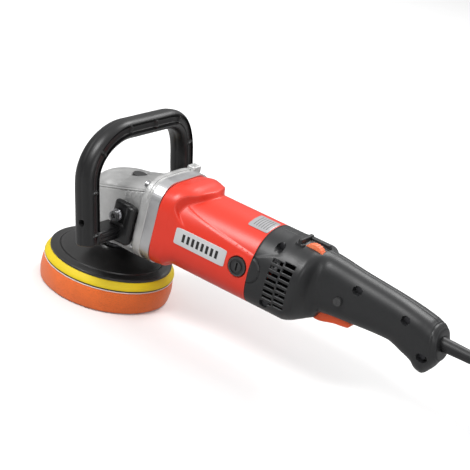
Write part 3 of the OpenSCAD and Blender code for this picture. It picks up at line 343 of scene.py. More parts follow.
def finish_material(name, colour, rough, metal=0.0, grain=900.0, bump=0.2, depth=0.15, worn=None, hollow=None,
                    patch=0.10, lines=None, coat=0.0, sheen=0.0, cells=None, tint=0.9, patches=25.0,
                    rough_swing=0.06):
    """A finish: base colour shifted by patches, worn edges, painted shade in hollows and foam pores,
    roughness that wanders and a bump from grain, drawn lines or foam cells."""
    mat = bpy.data.materials.new(name)
    mat.use_nodes = True
    tree = mat.node_tree
    shader = tree.nodes["Principled BSDF"]
    g = placed(tree, "grain", Scale=grain, Patches=patches)
    w = placed(tree, "wear")
    dark = tuple(c * tint for c in colour)
    shade = blend_colour(tree, spread(tree, g.outputs["Patch"], 0.0, 1.0), dark, colour)
    height = g.outputs["Height"]
    if cells:
        c = placed(tree, "cells", Scale=cells)
        height = c.outputs["Height"]
        # Painted shade: the foam's pores darkened towards half its colour.
        shade = blend_colour(tree, spread(tree, c.outputs["Pore"], 0.0, 0.6, 0.0, 1.0), shade,
                             tuple(v * 0.5 for v in colour))
    if lines:
        height = placed(tree, "lines", Stretch=lines[0], Scale=lines[1]).outputs["Height"]
    # Painted shade: the hollows are darkened towards the finish's hollow colour.
    if hollow is not None:
        shade = blend_colour(tree, w.outputs["Hollow"], shade, hollow)
    if worn is not None:
        shade = blend_colour(tree, w.outputs["Edge"], shade, worn)
    tree.links.new(shade, shader.inputs["Base Color"])
    tree.links.new(spread(tree, g.outputs["Patch"], rough - rough_swing, rough + rough_swing),
                   shader.inputs["Roughness"])
    joined_bump = joined(tree, "ShaderNodeBump", Strength=bump, Distance=depth * MM, Height=height)
    tree.links.new(joined_bump.outputs["Normal"], shader.inputs["Normal"])
    shader.inputs["Metallic"].default_value = metal
    shader.inputs["Coat Weight"].default_value = coat
    shader.inputs["Sheen Weight"].default_value = sheen
    return mat


def bars_material(name, colour, ink, pitch, share, window, across):
    """A foil label with plain printed bars: ink where a saw-tooth along one axis is under its share and the
    point lies inside the window."""
    mat = finish_material(name, colour, 0.34, 0.35, grain=1500.0, bump=0.05, depth=0.05,
                          lines=((2.0, 2.0, 60.0), 300.0))
    tree = mat.node_tree
    shader = tree.nodes["Principled BSDF"]
    base = shader.inputs["Base Color"].links[0].from_socket
    place = joined(tree, "ShaderNodeSeparateXYZ", Vector=joined(tree, "ShaderNodeTexCoord").outputs["Object"])
    saw = joined(tree, "ShaderNodeMath", {"operation": "FRACT"},
                 i0=joined(tree, "ShaderNodeMath", {"operation": "MULTIPLY"}, i0=place.outputs[across],
                           i1=1 / (pitch * MM)).outputs[0])
    mask = joined(tree, "ShaderNodeMath", {"operation": "LESS_THAN"}, i0=saw.outputs[0], i1=share).outputs[0]
    for axis, low, high in window:
        for op, edge in (("GREATER_THAN", low), ("LESS_THAN", high)):
            side = joined(tree, "ShaderNodeMath", {"operation": op}, i0=place.outputs[axis], i1=edge * MM)
            mask = joined(tree, "ShaderNodeMath", {"operation": "MULTIPLY"}, i0=mask,
                          i1=side.outputs[0]).outputs[0]
    tree.links.new(blend_colour(tree, mask, base, ink), shader.inputs["Base Color"])
    return mat


# Each finish's colour for its hollows is painted shade, laid into the surface's hollows.
FINISHES = {
    "foam_orange": dict(rough=0.92, cells=1500.0, bump=0.45, depth=0.4, sheen=0.25, patches=60.0, tint=0.88),
    "loop_cloth": dict(colour=(0.86, 0.70, 0.66), rough=0.95, grain=1500.0, bump=0.8, depth=0.4, sheen=0.4),
    "hook_black": dict(colour=(0.028, 0.027, 0.027), rough=0.85, grain=2200.0, bump=0.8, depth=0.3),
    "pu_yellow": dict(rough=0.62, grain=1300.0, bump=0.22, depth=0.15, tint=0.93, patches=40.0,
                      hollow=(0.45, 0.33, 0.02)),
    "plate_black": dict(rough=0.34, grain=1600.0, bump=0.16, depth=0.1, worn=(0.10, 0.10, 0.10),
                        rough_swing=0.08),
    "steel": dict(colour=(0.56, 0.56, 0.58), rough=0.28, metal=1.0, lines=((1.0, 1.0, 30.0), 90.0), bump=0.12,
                  depth=0.05),
    "hardened_steel": dict(colour=(0.060, 0.060, 0.065), rough=0.42, metal=1.0, grain=700.0, bump=0.15,
                           depth=0.05, hollow=(0.05, 0.04, 0.03)),
    "bearing_steel": dict(colour=(0.26, 0.26, 0.27), rough=0.30, metal=1.0, grain=900.0, bump=0.05,
                          depth=0.03),
    "machined_aluminium": dict(colour=(0.62, 0.62, 0.63), rough=0.36, metal=1.0,
                               lines=((30.0, 1.0, 1.0), 120.0), bump=0.15, depth=0.06,
                               hollow=(0.12, 0.12, 0.12)),
    "zinc_steel": dict(colour=(0.60, 0.60, 0.62), rough=0.30, metal=1.0, grain=900.0, bump=0.12, depth=0.06,
                       hollow=(0.10, 0.10, 0.10), worn=(0.75, 0.75, 0.76)),
    "seal_rubber": dict(colour=(0.03, 0.03, 0.03), rough=0.6, grain=1200.0),
    "cast_aluminium": dict(colour=(0.60, 0.60, 0.595), rough=0.46, metal=0.62, grain=520.0, bump=0.9,
                           depth=0.35, tint=0.80, patches=60.0, hollow=(0.16, 0.16, 0.16),
                           worn=(0.80, 0.80, 0.80), rough_swing=0.10),
    "lamination": dict(colour=(0.20, 0.20, 0.22), rough=0.42, metal=0.9, lines=((60.0, 1.0, 1.0), 60.0),
                       bump=0.4, depth=0.2),
    "copper": dict(colour=(0.52, 0.22, 0.09), rough=0.34, metal=0.9, lines=((1.0, 14.0, 14.0), 60.0),
                   bump=0.5, depth=0.3),
    "fan_plastic": dict(colour=(0.70, 0.69, 0.64), rough=0.5, grain=900.0),
    "body_red": dict(rough=0.36, grain=1900.0, bump=0.14, depth=0.08, tint=0.965, worn=(0.70, 0.14, 0.09),
                     patches=18.0, rough_swing=0.04),
    "plastic_black": dict(colour=(0.018, 0.018, 0.019), rough=0.5, grain=1300.0),
    "brass": dict(colour=(0.66, 0.46, 0.18), rough=0.3, metal=1.0, grain=800.0, bump=0.1),
    "carbon": dict(colour=(0.035, 0.035, 0.038), rough=0.55, grain=1800.0, bump=0.3),
    "spring_steel": dict(colour=(0.42, 0.42, 0.44), rough=0.3, metal=1.0, grain=900.0, bump=0.08),
    "cap_black": dict(colour=(0.016, 0.016, 0.017), rough=0.34, grain=1700.0, bump=0.1, depth=0.06,
                      worn=(0.07, 0.07, 0.07)),
    "plate_silver": dict(colour=(0.62, 0.62, 0.63), rough=0.34, metal=0.6, lines=((2.0, 2.0, 50.0), 260.0),
                         bump=0.06, depth=0.05),
    "handle_charcoal": dict(rough=0.42, grain=1500.0, bump=0.30, depth=0.10, worn=(0.06, 0.062, 0.065),
                            patches=20.0, hollow=(0.004, 0.004, 0.004), rough_swing=0.05),
    "control_orange": dict(rough=0.40, grain=1500.0, bump=0.15, depth=0.08, worn=(0.95, 0.33, 0.16),
                           hollow=(0.40, 0.05, 0.01)),
    "cord_rubber": dict(colour=(0.009, 0.009, 0.010), rough=0.44, grain=1100.0, bump=0.18, depth=0.1,
                        tint=0.8),
    "nickel_pins": dict(colour=(0.66, 0.64, 0.60), rough=0.2, metal=1.0, grain=900.0, bump=0.06),
    "loop_charcoal": dict(rough=0.36, grain=1300.0, bump=0.30, depth=0.12, worn=(0.05, 0.05, 0.05),
                          patches=22.0, hollow=(0.003, 0.003, 0.003), rough_swing=0.06),
}
MATERIALS = {}


def material(slot):
    """The finish of a record's material slot, made once; the user's colours stand in where a finish has
    none."""
    if slot not in MATERIALS:
        facts = dict(FINISHES[slot])
        colours = bpy.context.scene.polisher_colours
        if "colour" not in facts:
            facts["colour"] = tuple(getattr(colours, slot))
        MATERIALS[slot] = finish_material(slot, **facts)
    return MATERIALS[slot]


def settle(obj, slot, body="tool_body", replaces=(), mat=None):
    """Gives a piece its finish, its body and the CAD nodes it stands for."""
    obj.data.materials.append(mat or material(slot))
    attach(obj, body)
    if replaces:
        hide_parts(*replaces)
    return obj


# ---------------------------------------------------------------- properties

def colour_prop(name, default):
    return FloatVectorProperty(name=name, description=f"{name}, linear", default=default, size=3,
                               subtype="COLOR", min=0, max=1)


class PolisherColours(bpy.types.PropertyGroup):
    """Colours a maker would change."""
    body_red: colour_prop("Motor housing colour", (0.70, 0.032, 0.013))
    handle_charcoal: colour_prop("Rear handle colour", (0.012, 0.0125, 0.0135))
    loop_charcoal: colour_prop("Loop handle colour", (0.0055, 0.0055, 0.006))
    plate_black: colour_prop("Backing plate colour", (0.010, 0.0095, 0.0095))
    pu_yellow: colour_prop("Cushion disc colour", (0.80, 0.60, 0.006))
    foam_orange: colour_prop("Foam colour", (0.95, 0.180, 0.030))
    control_orange: colour_prop("Trigger and dial colour", (0.86, 0.100, 0.020))


class PolisherSizes(bpy.types.PropertyGroup):
    """Sizes a maker would change."""
    foam_radius: FloatProperty(name="Foam radius", description="Radius of the foam pad", default=76 * MM,
                               unit="LENGTH")
    foam_bulge: FloatProperty(name="Foam bulge", description="How far the foam's wall bulges",
                              default=0.9 * MM, unit="LENGTH")
    wall: FloatProperty(name="Shell wall", description="Wall of the moulded shells", default=2.8 * MM,
                        unit="LENGTH")
    bracket_ribs: IntProperty(name="Bracket ribs", description="Ribs on each bracket of the loop handle",
                              default=3, min=1)
    guard_grooves: IntProperty(name="Lead grooves", description="Rings moulded on the plug's boot", default=5,
                               min=0)


# ---------------------------------------------------------------- pieces

class POLISHER_OT_camera(bpy.types.Operator):
    """Sets the camera in front of the near side, a little above and turned about its own axis"""
    bl_idname = "polisher.camera"
    bl_label = "Camera"

    def execute(self, context):
        data = bpy.data.cameras.new("view")
        cam = bpy.data.objects.new("view", data)
        context.scene.collection.objects.link(cam)
        right, up, back = (0.81317, 0.53072, 0.23898), (-0.39551, 0.20261, 0.89583), (0.42701, -0.82298,
                                                                                      0.37466)
        turn = Matrix((right, up, back)).transposed().to_4x4()
        cam.matrix_world = Matrix.Translation((0.8297, -1.3171, 0.7258)) @ turn
        data.sensor_width, data.lens = 36.0, 114.56
        data.clip_start, data.clip_end = 0.05, 60.0
        context.scene.camera = cam
        return {"FINISHED"}


def cord_path():
    """The lead's centre line: out of the guard, down to the floor, six and a half turns in two layers whose
    radius falls one pitch a turn below and rises again above, and off to the plug."""
    drop = np.array([(432, 0, 118.5), (450, 0, 118.5), (462, 0, 118.2), (474, 0, 116), (486, 0, 111),
                     (496, 0, 103), (504, 0, 93), (510, 0, 81), (514, 0, 69), (518, 0, 57), (523, 0, 45),
                     (530, 0, 34), (539, 0, 24), (549, 0, 15), (560, 0, 8.5), (570, 0, 5), (578, 0, 4.1)],
                     float)
    reach = np.concatenate([[0], np.cumsum(np.linalg.norm(np.diff(drop, axis=0), axis=1))])
    fine = np.linspace(0, reach[-1], 90)
    drop = np.stack([flow(reach, drop[:, k], fine) for k in range(3)], 1)
    cx, cy = COIL_CENTRE
    turns = np.linspace(0, HOP_START, 250)[1:]
    low = np.stack([turns, COIL_OUTER - COIL_PITCH * turns, np.full(len(turns), LAYER_LOW)])
    hop = np.linspace(HOP_START, HOP_END, 20)[1:]
    inner = COIL_OUTER - COIL_PITCH * HOP_START
    rise = smooth_step((hop - HOP_START) / (HOP_END - HOP_START))
    middle = np.stack([hop, np.full(len(hop), inner), LAYER_LOW + COIL_PITCH * rise])
    upper = np.linspace(HOP_END, TURNS, 220)[1:]
    top = np.stack([upper, inner + (COIL_TOP_END - inner) * (upper - HOP_END) / (TURNS - HOP_END),
                    np.full(len(upper), LAYER_HIGH)])
    t, r, z = np.concatenate([low, middle, top], 1)
    a = 2 * np.pi * t - np.pi / 2
    coil = np.stack([cx + r * np.cos(a), cy + r * np.sin(a), z], 1)
    s = np.linspace(0, 1, 16)[1:]
    lead = np.stack([578 - 45 * s, 108.4 - 0.4 * s, 12.2 - 1.2 * smooth_step(s)], 1)
    return np.concatenate([drop, coil, lead])


def resampled(path, step):
    reach = np.concatenate([[0], np.cumsum(np.linalg.norm(np.diff(path, axis=0), axis=1))])
    s = np.linspace(0, reach[-1], int(reach[-1] / step) + 1)
    return np.stack([np.interp(s, reach, path[:, k]) for k in range(3)], 1), reach[-1]


class POLISHER_OT_lead(bpy.types.Operator):
    """The mains lead: a round section carried along its path, and its plug with a ribbed boot"""
    bl_idname = "polisher.lead"
    bl_label = "Mains lead and plug"

    def execute(self, context):
        path, length = resampled(cord_path(), 3.0)
        a = around(16)
        ring = CORD_D / 2 * np.stack([np.cos(a), np.sin(a)], 1)
        rings = tube(path, ring, (-0.577, 0.577, 0.577))
        lead = solid("mains_lead", [tube_part(capped(rings, inset=0.8, push=0.4))])
        settle(lead, "cord_rubber", replaces=["power_cord", "cord_coil"])
        plug = plug_skin(context.scene.polisher_sizes.guard_grooves)
        return {"FINISHED"}


def plug_skin(grooves):
    """The plug: a rounded section along -X whose half width and half height follow the moulding, with ring
    grooves cut in the boot by a narrow bell in the radius."""
    x = np.linspace(0, 46, 140)
    wide = flow([0, 14, 18, 26, 40, 46], [5.2, 6.8, 8.6, 16.2, 17, 16.6], x)
    tall = flow([0, 14, 18, 26, 40, 46], [5.2, 6.8, 8.0, 9.0, 9.0, 8.8], x)
    rings_cut = sum(bell(x - 2.6 - 2.5 * k, 0.5) for k in range(grooves)) if grooves else 0 * x
    wide, tall = wide - 0.8 * rings_cut, tall - 0.8 * rings_cut
    a = around(72)
    power = flow([0, 16, 30, 46], [2, 2.2, 3.0, 3.2], x)[:, None]
    y = 108 + wide[:, None] * signed_power(np.cos(a), 2 / power)
    z = 11 + tall[:, None] * signed_power(np.sin(a), 2 / power)
    rings = np.stack(np.broadcast_arrays(533 - x[:, None], y, z), -1)
    plug = solid("plug_skin", [tube_part(capped(rings, inset=1.5, push=0.4))])
    return settle(plug, "cord_rubber", replaces=["plug_body"])


class POLISHER_OT_stage(bpy.types.Operator):
    """A pale floor, a bright even sky and three soft lamps"""
    bl_idname = "polisher.stage"
    bl_label = "Studio"

    def execute(self, context):
        xs = np.linspace(-12000, 12000, 3)
        grid = np.stack(np.meshgrid(xs, xs, indexing="ij") + [np.full((3, 3), -0.4)], -1)
        floor = solid("floor", [(grid, grid_faces(3, 3), (0, 0, -1000))])
        paper = finish_material("floor_paper", (0.9, 0.9, 0.9), 0.8, grain=400.0, bump=0.02, tint=0.99)
        shader = paper.node_tree.nodes["Principled BSDF"]
        seen = joined(paper.node_tree, "ShaderNodeLightPath").outputs["Is Camera Ray"]
        base = shader.inputs["Base Color"].links[0].from_socket
        paper.node_tree.links.new(blend_colour(paper.node_tree, seen, (0.42, 0.42, 0.42), base),
                                  shader.inputs["Base Color"])
        shader.inputs["Specular IOR Level"].default_value = 0.0
        floor.data.materials.append(paper)
        world = bpy.data.worlds.new("studio")
        world.use_nodes = True
        sky = world.node_tree
        up = joined(sky, "ShaderNodeSeparateXYZ",
                    Vector=joined(sky, "ShaderNodeTexCoord").outputs["Generated"]).outputs["Z"]
        glow = joined(sky, "ShaderNodeMapRange", Value=up, From__Min=0.05, From__Max=0.95, To__Min=0.28,
                      To__Max=0.95)
        sky.links.new(glow.outputs[0], sky.nodes["Background"].inputs["Strength"])
        sky.nodes["Background"].inputs["Color"].default_value = (1.0, 1.0, 1.0, 1.0)
        context.scene.world = world
        for name, place, energy, size in (("key", (-0.55, -1.25, 1.75), 30.0, 0.75),
                                          ("fill", (1.7, -1.3, 1.0), 8.0, 0.9),
                                          ("back", (0.1, 1.3, 1.7), 20.0, 0.9)):
            data = bpy.data.lights.new(name, "AREA")
            data.energy, data.size = energy, size
            lamp = bpy.data.objects.new(name, data)
            context.scene.collection.objects.link(lamp)
            lamp.location = place
            lamp.rotation_euler = (Vector((0.16, 0, 0.1)) - Vector(place)).to_track_quat("-Z", "Y").to_euler()
        context.scene.view_settings.view_transform = "Standard"
        return {"FINISHED"}


class POLISHER_OT_pad(bpy.types.Operator):
    """The foam pad, its loop cloth, the hook layer, the cushion disc and the backing plate, all turned
    profiles"""
    bl_idname = "polisher.pad"
    bl_label = "Pad and backing plate"

    def execute(self, context):
        sizes = context.scene.polisher_sizes
        r, bulge = sizes.foam_radius / MM, sizes.foam_bulge / MM
        z = np.linspace(3.2, 23.6, 16)
        turn = np.linspace(0, np.pi / 2, 8)
        wall = r - bulge + bulge * np.sin(np.pi * (z - 3.2) / 20.4)
        profile = [(0, 0.3), (20, 0.1), (50, 0), (r - 5, 0)]
        profile += [(r - 4.1 + 3.2 * math.sin(a), 3.2 - 3.2 * math.cos(a)) for a in turn[1:-1]]
        profile += list(zip(wall, z)) + [(r - 1.4, 25.0), (r - 2.2, 25.5), (40, 25.5), (0, 25.5)]
        p = revolve(profile, 360)
        ang = np.arctan2(p[..., 1], p[..., 0])
        edge = smooth_step((np.hypot(p[..., 0], p[..., 1]) - 60) / 12)
        wave = 0.18 * np.sin(5 * ang + 0.7) + 0.12 * np.sin(11 * ang + p[..., 2]
                                                            * 0.2) + 0.05 * np.sin(47 * ang + p[..., 2])
        p[..., :2] *= (1 + edge * (wave - 0.3) / r)[..., None]
        foam = solid("foam_pad_skin", [(p, grid_faces(len(p), 360, False, True), (0, 0, 12))], 60)
        settle(foam, "foam_orange", "polishing_head", ["foam_pad"])

        def disc(name, slot, node, profile, n=360, fray=0.0, sharp=38.0):
            q = revolve(profile, n)
            a = np.arctan2(q[..., 1], q[..., 0])
            rim = smooth_step((np.hypot(q[..., 0], q[..., 1]) - 66) / 6)
            q[..., :2] *= (1 + rim * fray * (np.sin(61 * a) * np.sin(23 * a + 1) + 0.5 * np.sin(137 * a))
                           / 75)[..., None]
            mid = (0, 0, sum(k[1] for k in profile) / len(profile))
            piece = solid(name, [(q, grid_faces(len(q), n, False, True), mid)], sharp)
            return settle(piece, slot, "polishing_head", [node])

        disc("loop_cloth_skin", "loop_cloth", "pad_loop_layer",
             [(0, 25.6), (73.6, 25.6), (74.6, 25.9), (74.8, 26.3), (74.4, 26.8), (0, 26.8)], fray=0.25)
        disc("hook_layer_skin", "hook_black", "hook_layer",
             [(0, 26.9), (73.6, 26.9), (74.1, 27.2), (74.1, 28.2), (73.8, 28.45), (0, 28.45)], fray=0.1)
        disc("cushion_disc_skin", "pu_yellow", "cushion_disc",
             [(0, 28.5), (74.2, 28.5), (74.8, 28.8), (74.9, 29.4), (74.3, 31.6), (72.9, 33.6), (71.6, 35.4),
              (70.7, 36.5), (70.0, 36.95), (0, 36.95)], fray=0.06, sharp=50)
        hub = [(11.05, 37.02), (69.6, 37.02), (70.0, 37.3), (70.0, 39.4), (69.4, 40.0), (66, 40.5),
               (60.3, 41.5), (59.9, 41.2), (59.6, 40.8), (59.2, 40.8), (58.8, 41.3), (58.4, 42.2), (50, 43.6),
               (41, 45.2), (33, 46.9), (28, 48.5), (24.5, 50.2), (22, 52.0), (20.8, 53.4), (20.2, 54.3),
               (19.4, 54.9), (18.4, 55.0), (12.4, 55.0), (11.05, 54.6)]
        q = revolve(hub, 360)
        plate = solid("backing_plate_skin", [(q, grid_faces(len(q), 360, True, True), (45, 0, 41))], 40)
        plate_volume_fix(plate)
        settle(plate, "plate_black", "polishing_head", ["backing_plate"])
        return {"FINISHED"}


def plate_volume_fix(obj):
    """A ring has no single inside point, so its faces are turned out by Blender's own test."""
    bm = bmesh.new()
    bm.from_mesh(obj.data)
    bmesh.ops.recalc_face_normals(bm, faces=bm.faces)
    bm.to_mesh(obj.data)
    bm.free()


def motor_section(x, angle):
    """The motor housing: a front bulge and a barrel, each a rounded section, blended over a boundary that
    runs far back at the top and close to the flange on the flanks and below."""
    from_top = np.abs(np.degrees(np.arctan2(np.cos(angle), np.sin(angle))))
    bulge = body_section(x, flow([74, 84, 130], [66, 67.2, 70], x),
                         flow([74, 82, 91, 104, 130], [161.5, 163.6, 165.5, 165, 162], x),
                         flow([74, 84, 100, 130], [48.2, 48, 46, 44.7], x),
                         flow([74, 86, 100], [3.7, 3.5, 3.0], x), 3.6, angle)
    barrel = body_section(x, 71, 159, 44.6, 2.2, 2.8, angle)
    start = flow([0, 22, 45, 62, 80, 100, 135, 180], [112, 107, 94, 90, 88, 87, 87, 87], from_top)
    width = flow([0, 30, 60, 80, 110, 150, 180], [7, 6, 7, 26, 26, 6, 4], from_top)
    w = smooth_step((x - start) / width)[..., None]
    return bulge * (1 - w) + barrel * w


def crease_height(x):
    return flow([96, 106, 118, 195], [148, 145, 142.5, 132.5], x)


def step_depth(p):
    """How far the skin above the crease stands back from the skin below it."""
    return 0.9 * smooth_step((p[..., 2] - crease_height(p[..., 0])) / 1.3) * smooth_step((p[..., 0] - 96)
                                                                                         / 10)


def motor_rings(x, n=288):
    angle = (np.arange(n) + 0.5) / n * 2 * np.pi
    xx, aa = np.meshgrid(x, angle, indexing="ij")
    p = motor_section(xx, aa)
    out = p - np.stack([p[..., 0], 0 * p[..., 0], np.full(p.shape[:2], AXIS_Z)], -1)
    out /= np.linalg.norm(out, axis=-1)[..., None]
    groove = bell(p[..., 2] - crease_height(p[..., 0]) + 0.4, 0.8) * smooth_step((p[..., 0] - 96) / 10)
    cap = np.hypot(p[..., 0] - 181, p[..., 2] - AXIS_Z)
    sunk = smooth_step((11.4 - cap) / 0.8) * (np.abs(p[..., 1]) > 25)
    collar = bell(cap - 12.6, 1.0) * (np.abs(p[..., 1]) > 25)
    p -= out * (step_depth(p) + 0.35 * groove + 4.5 * sunk - 0.35 * collar)[..., None]
    return p


class POLISHER_OT_motor(bpy.types.Operator):
    """The motor housing with its shoulder line, brush-cap seats and labels"""
    bl_idname = "polisher.motor"
    bl_label = "Motor housing"

    def execute(self, context):
        x = np.unique(np.concatenate([np.linspace(74.9, 130, 90), np.linspace(130, 168, 24),
                                      np.linspace(168, 194.2, 48)]))
        outer = motor_rings(x)
        n = outer.shape[1]

        def inset(ring, at, by):
            q = ring.copy()
            centre = np.array([0, 0, AXIS_Z])
            flat = q - centre
            flat[:, 0] = 0
            q -= flat / np.linalg.norm(flat, axis=1)[:, None] * by
            q[:, 0] = at
            return q

        def circle(at, r):
            a = (np.arange(n) + 0.5) / n * 2 * np.pi
            return np.stack([np.full(n, at), r * np.cos(a), AXIS_Z + r * np.sin(a)], 1)

        front, rear = outer[0], outer[-1]
        rings = [circle(74.05, 39.4), inset(front, 74.05, 0.9), inset(front, 74.3, 0.3)] + list(outer)
        rings += [inset(rear, 194.7, 0.25), inset(rear, 194.95, 0.7), circle(194.95, 20), circle(190.5, 20),
                  circle(190.5, 39.4)]
        rings = np.stack(rings)
        shell = solid("motor_shell", [(rings, grid_faces(len(rings), n, True, True), (120, 0, AXIS_Z))], 34)
        plate_volume_fix(shell)
        settle(shell, "body_red", replaces=["motor_housing"])
        shell.data.materials.append(material("plastic_black"))
        for face in shell.data.polygons:
            face.material_index = int(face.center.x > 194.6 * MM)
        self.labels()
        return {"FINISHED"}

    def labels(self):
        """Each label is a rounded rectangle drawn on the housing in rows out to its edge: its places are x
        and the height z, and y follows from the housing's own section; it stands a little proud, with a rim
        that dips."""
        spin = np.linspace(0, 2 * np.pi, 1441)
        for name, node, mid, half, mat in (
                ("name_plate_skin", "name_plate", (133.0, 116.6), (32.4, 9.3), bars_material(
                    "label_bars", (0.66, 0.66, 0.67), (0.02, 0.02, 0.02), 6.1, 0.55,
                    ((0, 109.6, 157.9), (2, 112.2, 121.2)), 0)),
                    ("rating_plate_skin", "rating_plate", (181.3, -9.0), (12.5, 13.5),
                     bars_material("rating_lines", (0.40, 0.40, 0.41), (0.12, 0.12, 0.12), 3.1, 0.30,
                                   ((0, 171.5, 191.0), (1, -19.0, 1.0)), 0))):
            rows = np.array([0, 0.2, 0.4, 0.6, 0.8, 0.9, 0.97, 1.0, 1.0])[:, None]
            lift = np.array([0.6] * 7 + [0.5, -0.4])[:, None]
            a = around(120)[None, :]
            x = mid[0] + half[0] * rows * signed_power(np.cos(a), 0.13)
            v = mid[1] + half[1] * rows * signed_power(np.sin(a), 0.13)
            ring = motor_section(x[..., None], spin)
            key = ring[..., 2] if mid[1] > 50 else ring[..., 1]
            side = ring[..., 1] < 0 if mid[1] > 50 else ring[..., 2] > AXIS_Z
            pick = np.abs(np.where(side, key, 1e6) - v[..., None]).argmin(-1)
            p = np.take_along_axis(ring, pick[..., None, None], 2)[..., 0, :]
            p[..., 2 if mid[1] > 50 else 1] = v
            out = p - np.stack([p[..., 0], 0 * p[..., 0], np.full(p.shape[:2], AXIS_Z)], -1)
            out /= np.linalg.norm(out, axis=-1)[..., None]
            p = p + out * (lift - step_depth(p))[..., None]
            label = solid(name, [(p, grid_faces(9, 120, False, True), (mid[0], 0, AXIS_Z))], 30)
            settle(label, "plate_silver", replaces=[node], mat=mat)


HANDLE_X = [195, 237, 247, 251, 255, 260, 264.5, 271, 302, 349, 371, 381, 386, 391, 395, 400, 403]
HANDLE = {
    "low": [71, 71, 74.5, 77, 79, 81.5, 84, 93, 96, 99, 93, 89, 84, 81.5, 88, 97, 101],
    "high": [159, 159, 158.7, 158.2, 157.6, 157, 156.6, 156, 152, 147, 143.5, 141.5, 140.5, 139.5, 138.5, 137,
             134.5],
    "half": [44.5, 44.5, 44.2, 43, 38.5, 29, 24.2, 22, 20.5, 20.5, 21, 21, 21, 21, 20.5, 19.5, 17.5],
    "up": [2.2, 2.2, 2.3, 2.4, 2.4, 2.4, 2.5, 2.6, 2.5, 2.5, 2.7, 2.8, 2.8, 2.8, 2.8, 2.7, 2.6],
    "down": [2.8, 2.8, 2.8, 2.8, 2.7, 2.7, 2.8, 2.9, 2.7, 2.6, 2.8, 2.8, 2.6, 2.5, 2.4, 2.4, 2.4],
}


def handle_size(x):
    """Bottom, top, half width and the two powers of the rear handle's section at any station."""
    return [flow(HANDLE_X, HANDLE[key], x) for key in ("low", "high", "half", "up", "down")]


def leaned(p):
    """The tail leans: past its last inch every point moves forward with its height above the cord."""
    p[..., 0] -= TAIL_LEAN * smooth_step((p[..., 0] - 386) / 14) * (p[..., 2] - CORD_Z)
    return p


def half_handle(side):
    """One half of the rear handle as a grid of stations along X and levels from the top seam to the bottom
    seam. Levels are heights in the vented part, so that slots have straight edges, and shares of the height
    behind it."""
    edges_x = [SLOT_X, SLOT_X + SLOT_LONG, SLOT_X + SLOT_LONG + SLOT_GAP, SLOT_X + 2 * SLOT_LONG + SLOT_GAP]
    stations = np.unique(np.round(np.concatenate([
        [195.05, 195.3, 195.9], np.arange(197, SLOT_X - 0.4, 1.1), np.linspace(edges_x[0], edges_x[1], 13),
        np.linspace(edges_x[2], edges_x[3], 13), np.arange(244.2, 276, 0.8), np.arange(276.5, 368, 1.8),
        np.arange(368.5, X_TAIL - 1, 0.8), [X_TAIL - 0.4, X_TAIL]]), 3))
    marks = np.array([0, SLOT_STEP, SLOT_TALL, SLOT_TALL + SLOT_STEP])
    band = (SLOT_LOW + SLOT_PITCH * np.arange(-1, SLOT_ROWS + 1)[:, None] + marks[None, :]).ravel()
    band = np.sort(np.concatenate([band, (band[1:] + band[:-1]) / 2]))[::-1]
    ref_low, ref_high, ref_mid, ref_h = 71.0, 159.0, 115.0, 44.0
    top_angles = np.linspace(np.pi / 2, np.arcsin(((band[0] - ref_mid) / ref_h) ** 1.1), 36)[:-1]
    top_z = ref_mid + ref_h * np.sin(top_angles) ** (2 / 2.2)
    last = -np.arcsin((abs(band[-1] - ref_mid) / ref_h) ** 1.4)
    low_z = ref_mid - ref_h * np.abs(np.sin(np.linspace(last, -np.pi / 2, 26)[1:])) ** (2 / 2.8)
    share = (np.concatenate([top_z, band, low_z]) - ref_low) / (ref_high - ref_low)
    xx = stations[:, None]
    low, high, half, up, down = handle_size(xx)
    fixed = ref_low + share[None, :] * (ref_high - ref_low)
    scaled = low + share[None, :] * (high - low)
    keep = 1 - smooth_step((xx - 243.8) / 13)
    z = np.clip(keep * fixed + (1 - keep) * scaled, low, high)
    z[:, 0], z[:, -1] = high[:, 0], low[:, 0]
    t = np.clip((z - (low + high) / 2) / ((high - low) / 2), -1, 1)
    power = np.where(t > 0, up, down)
    y = half * (1 - np.abs(t) ** power) ** (1 / power)
    p = np.stack(np.broadcast_arrays(xx, side * y, z), -1).copy()
    return p, stations, band, len(top_z)


def slot_mask(p, stations, band, first):
    """True for the quads inside a vent slot: two columns, the second a step higher."""
    nu, nv = p.shape[:2]
    mask = np.zeros((nu - 1, nv - 1), bool)
    mid_x = (stations[:-1] + stations[1:]) / 2
    mid_z = (band[:-1] + band[1:]) / 2
    for col in (0, 1):
        x0 = SLOT_X + col * (SLOT_LONG + SLOT_GAP)
        inside_x = (mid_x > x0) & (mid_x < x0 + SLOT_LONG)
        level = (mid_z - SLOT_LOW - col * SLOT_STEP) / SLOT_PITCH
        inside_z = (level > 0) & (level < SLOT_ROWS) & (level % 1 < SLOT_TALL / SLOT_PITCH)
        mask[np.ix_(np.nonzero(inside_x)[0], first + np.nonzero(inside_z)[0])] = True
    return mask


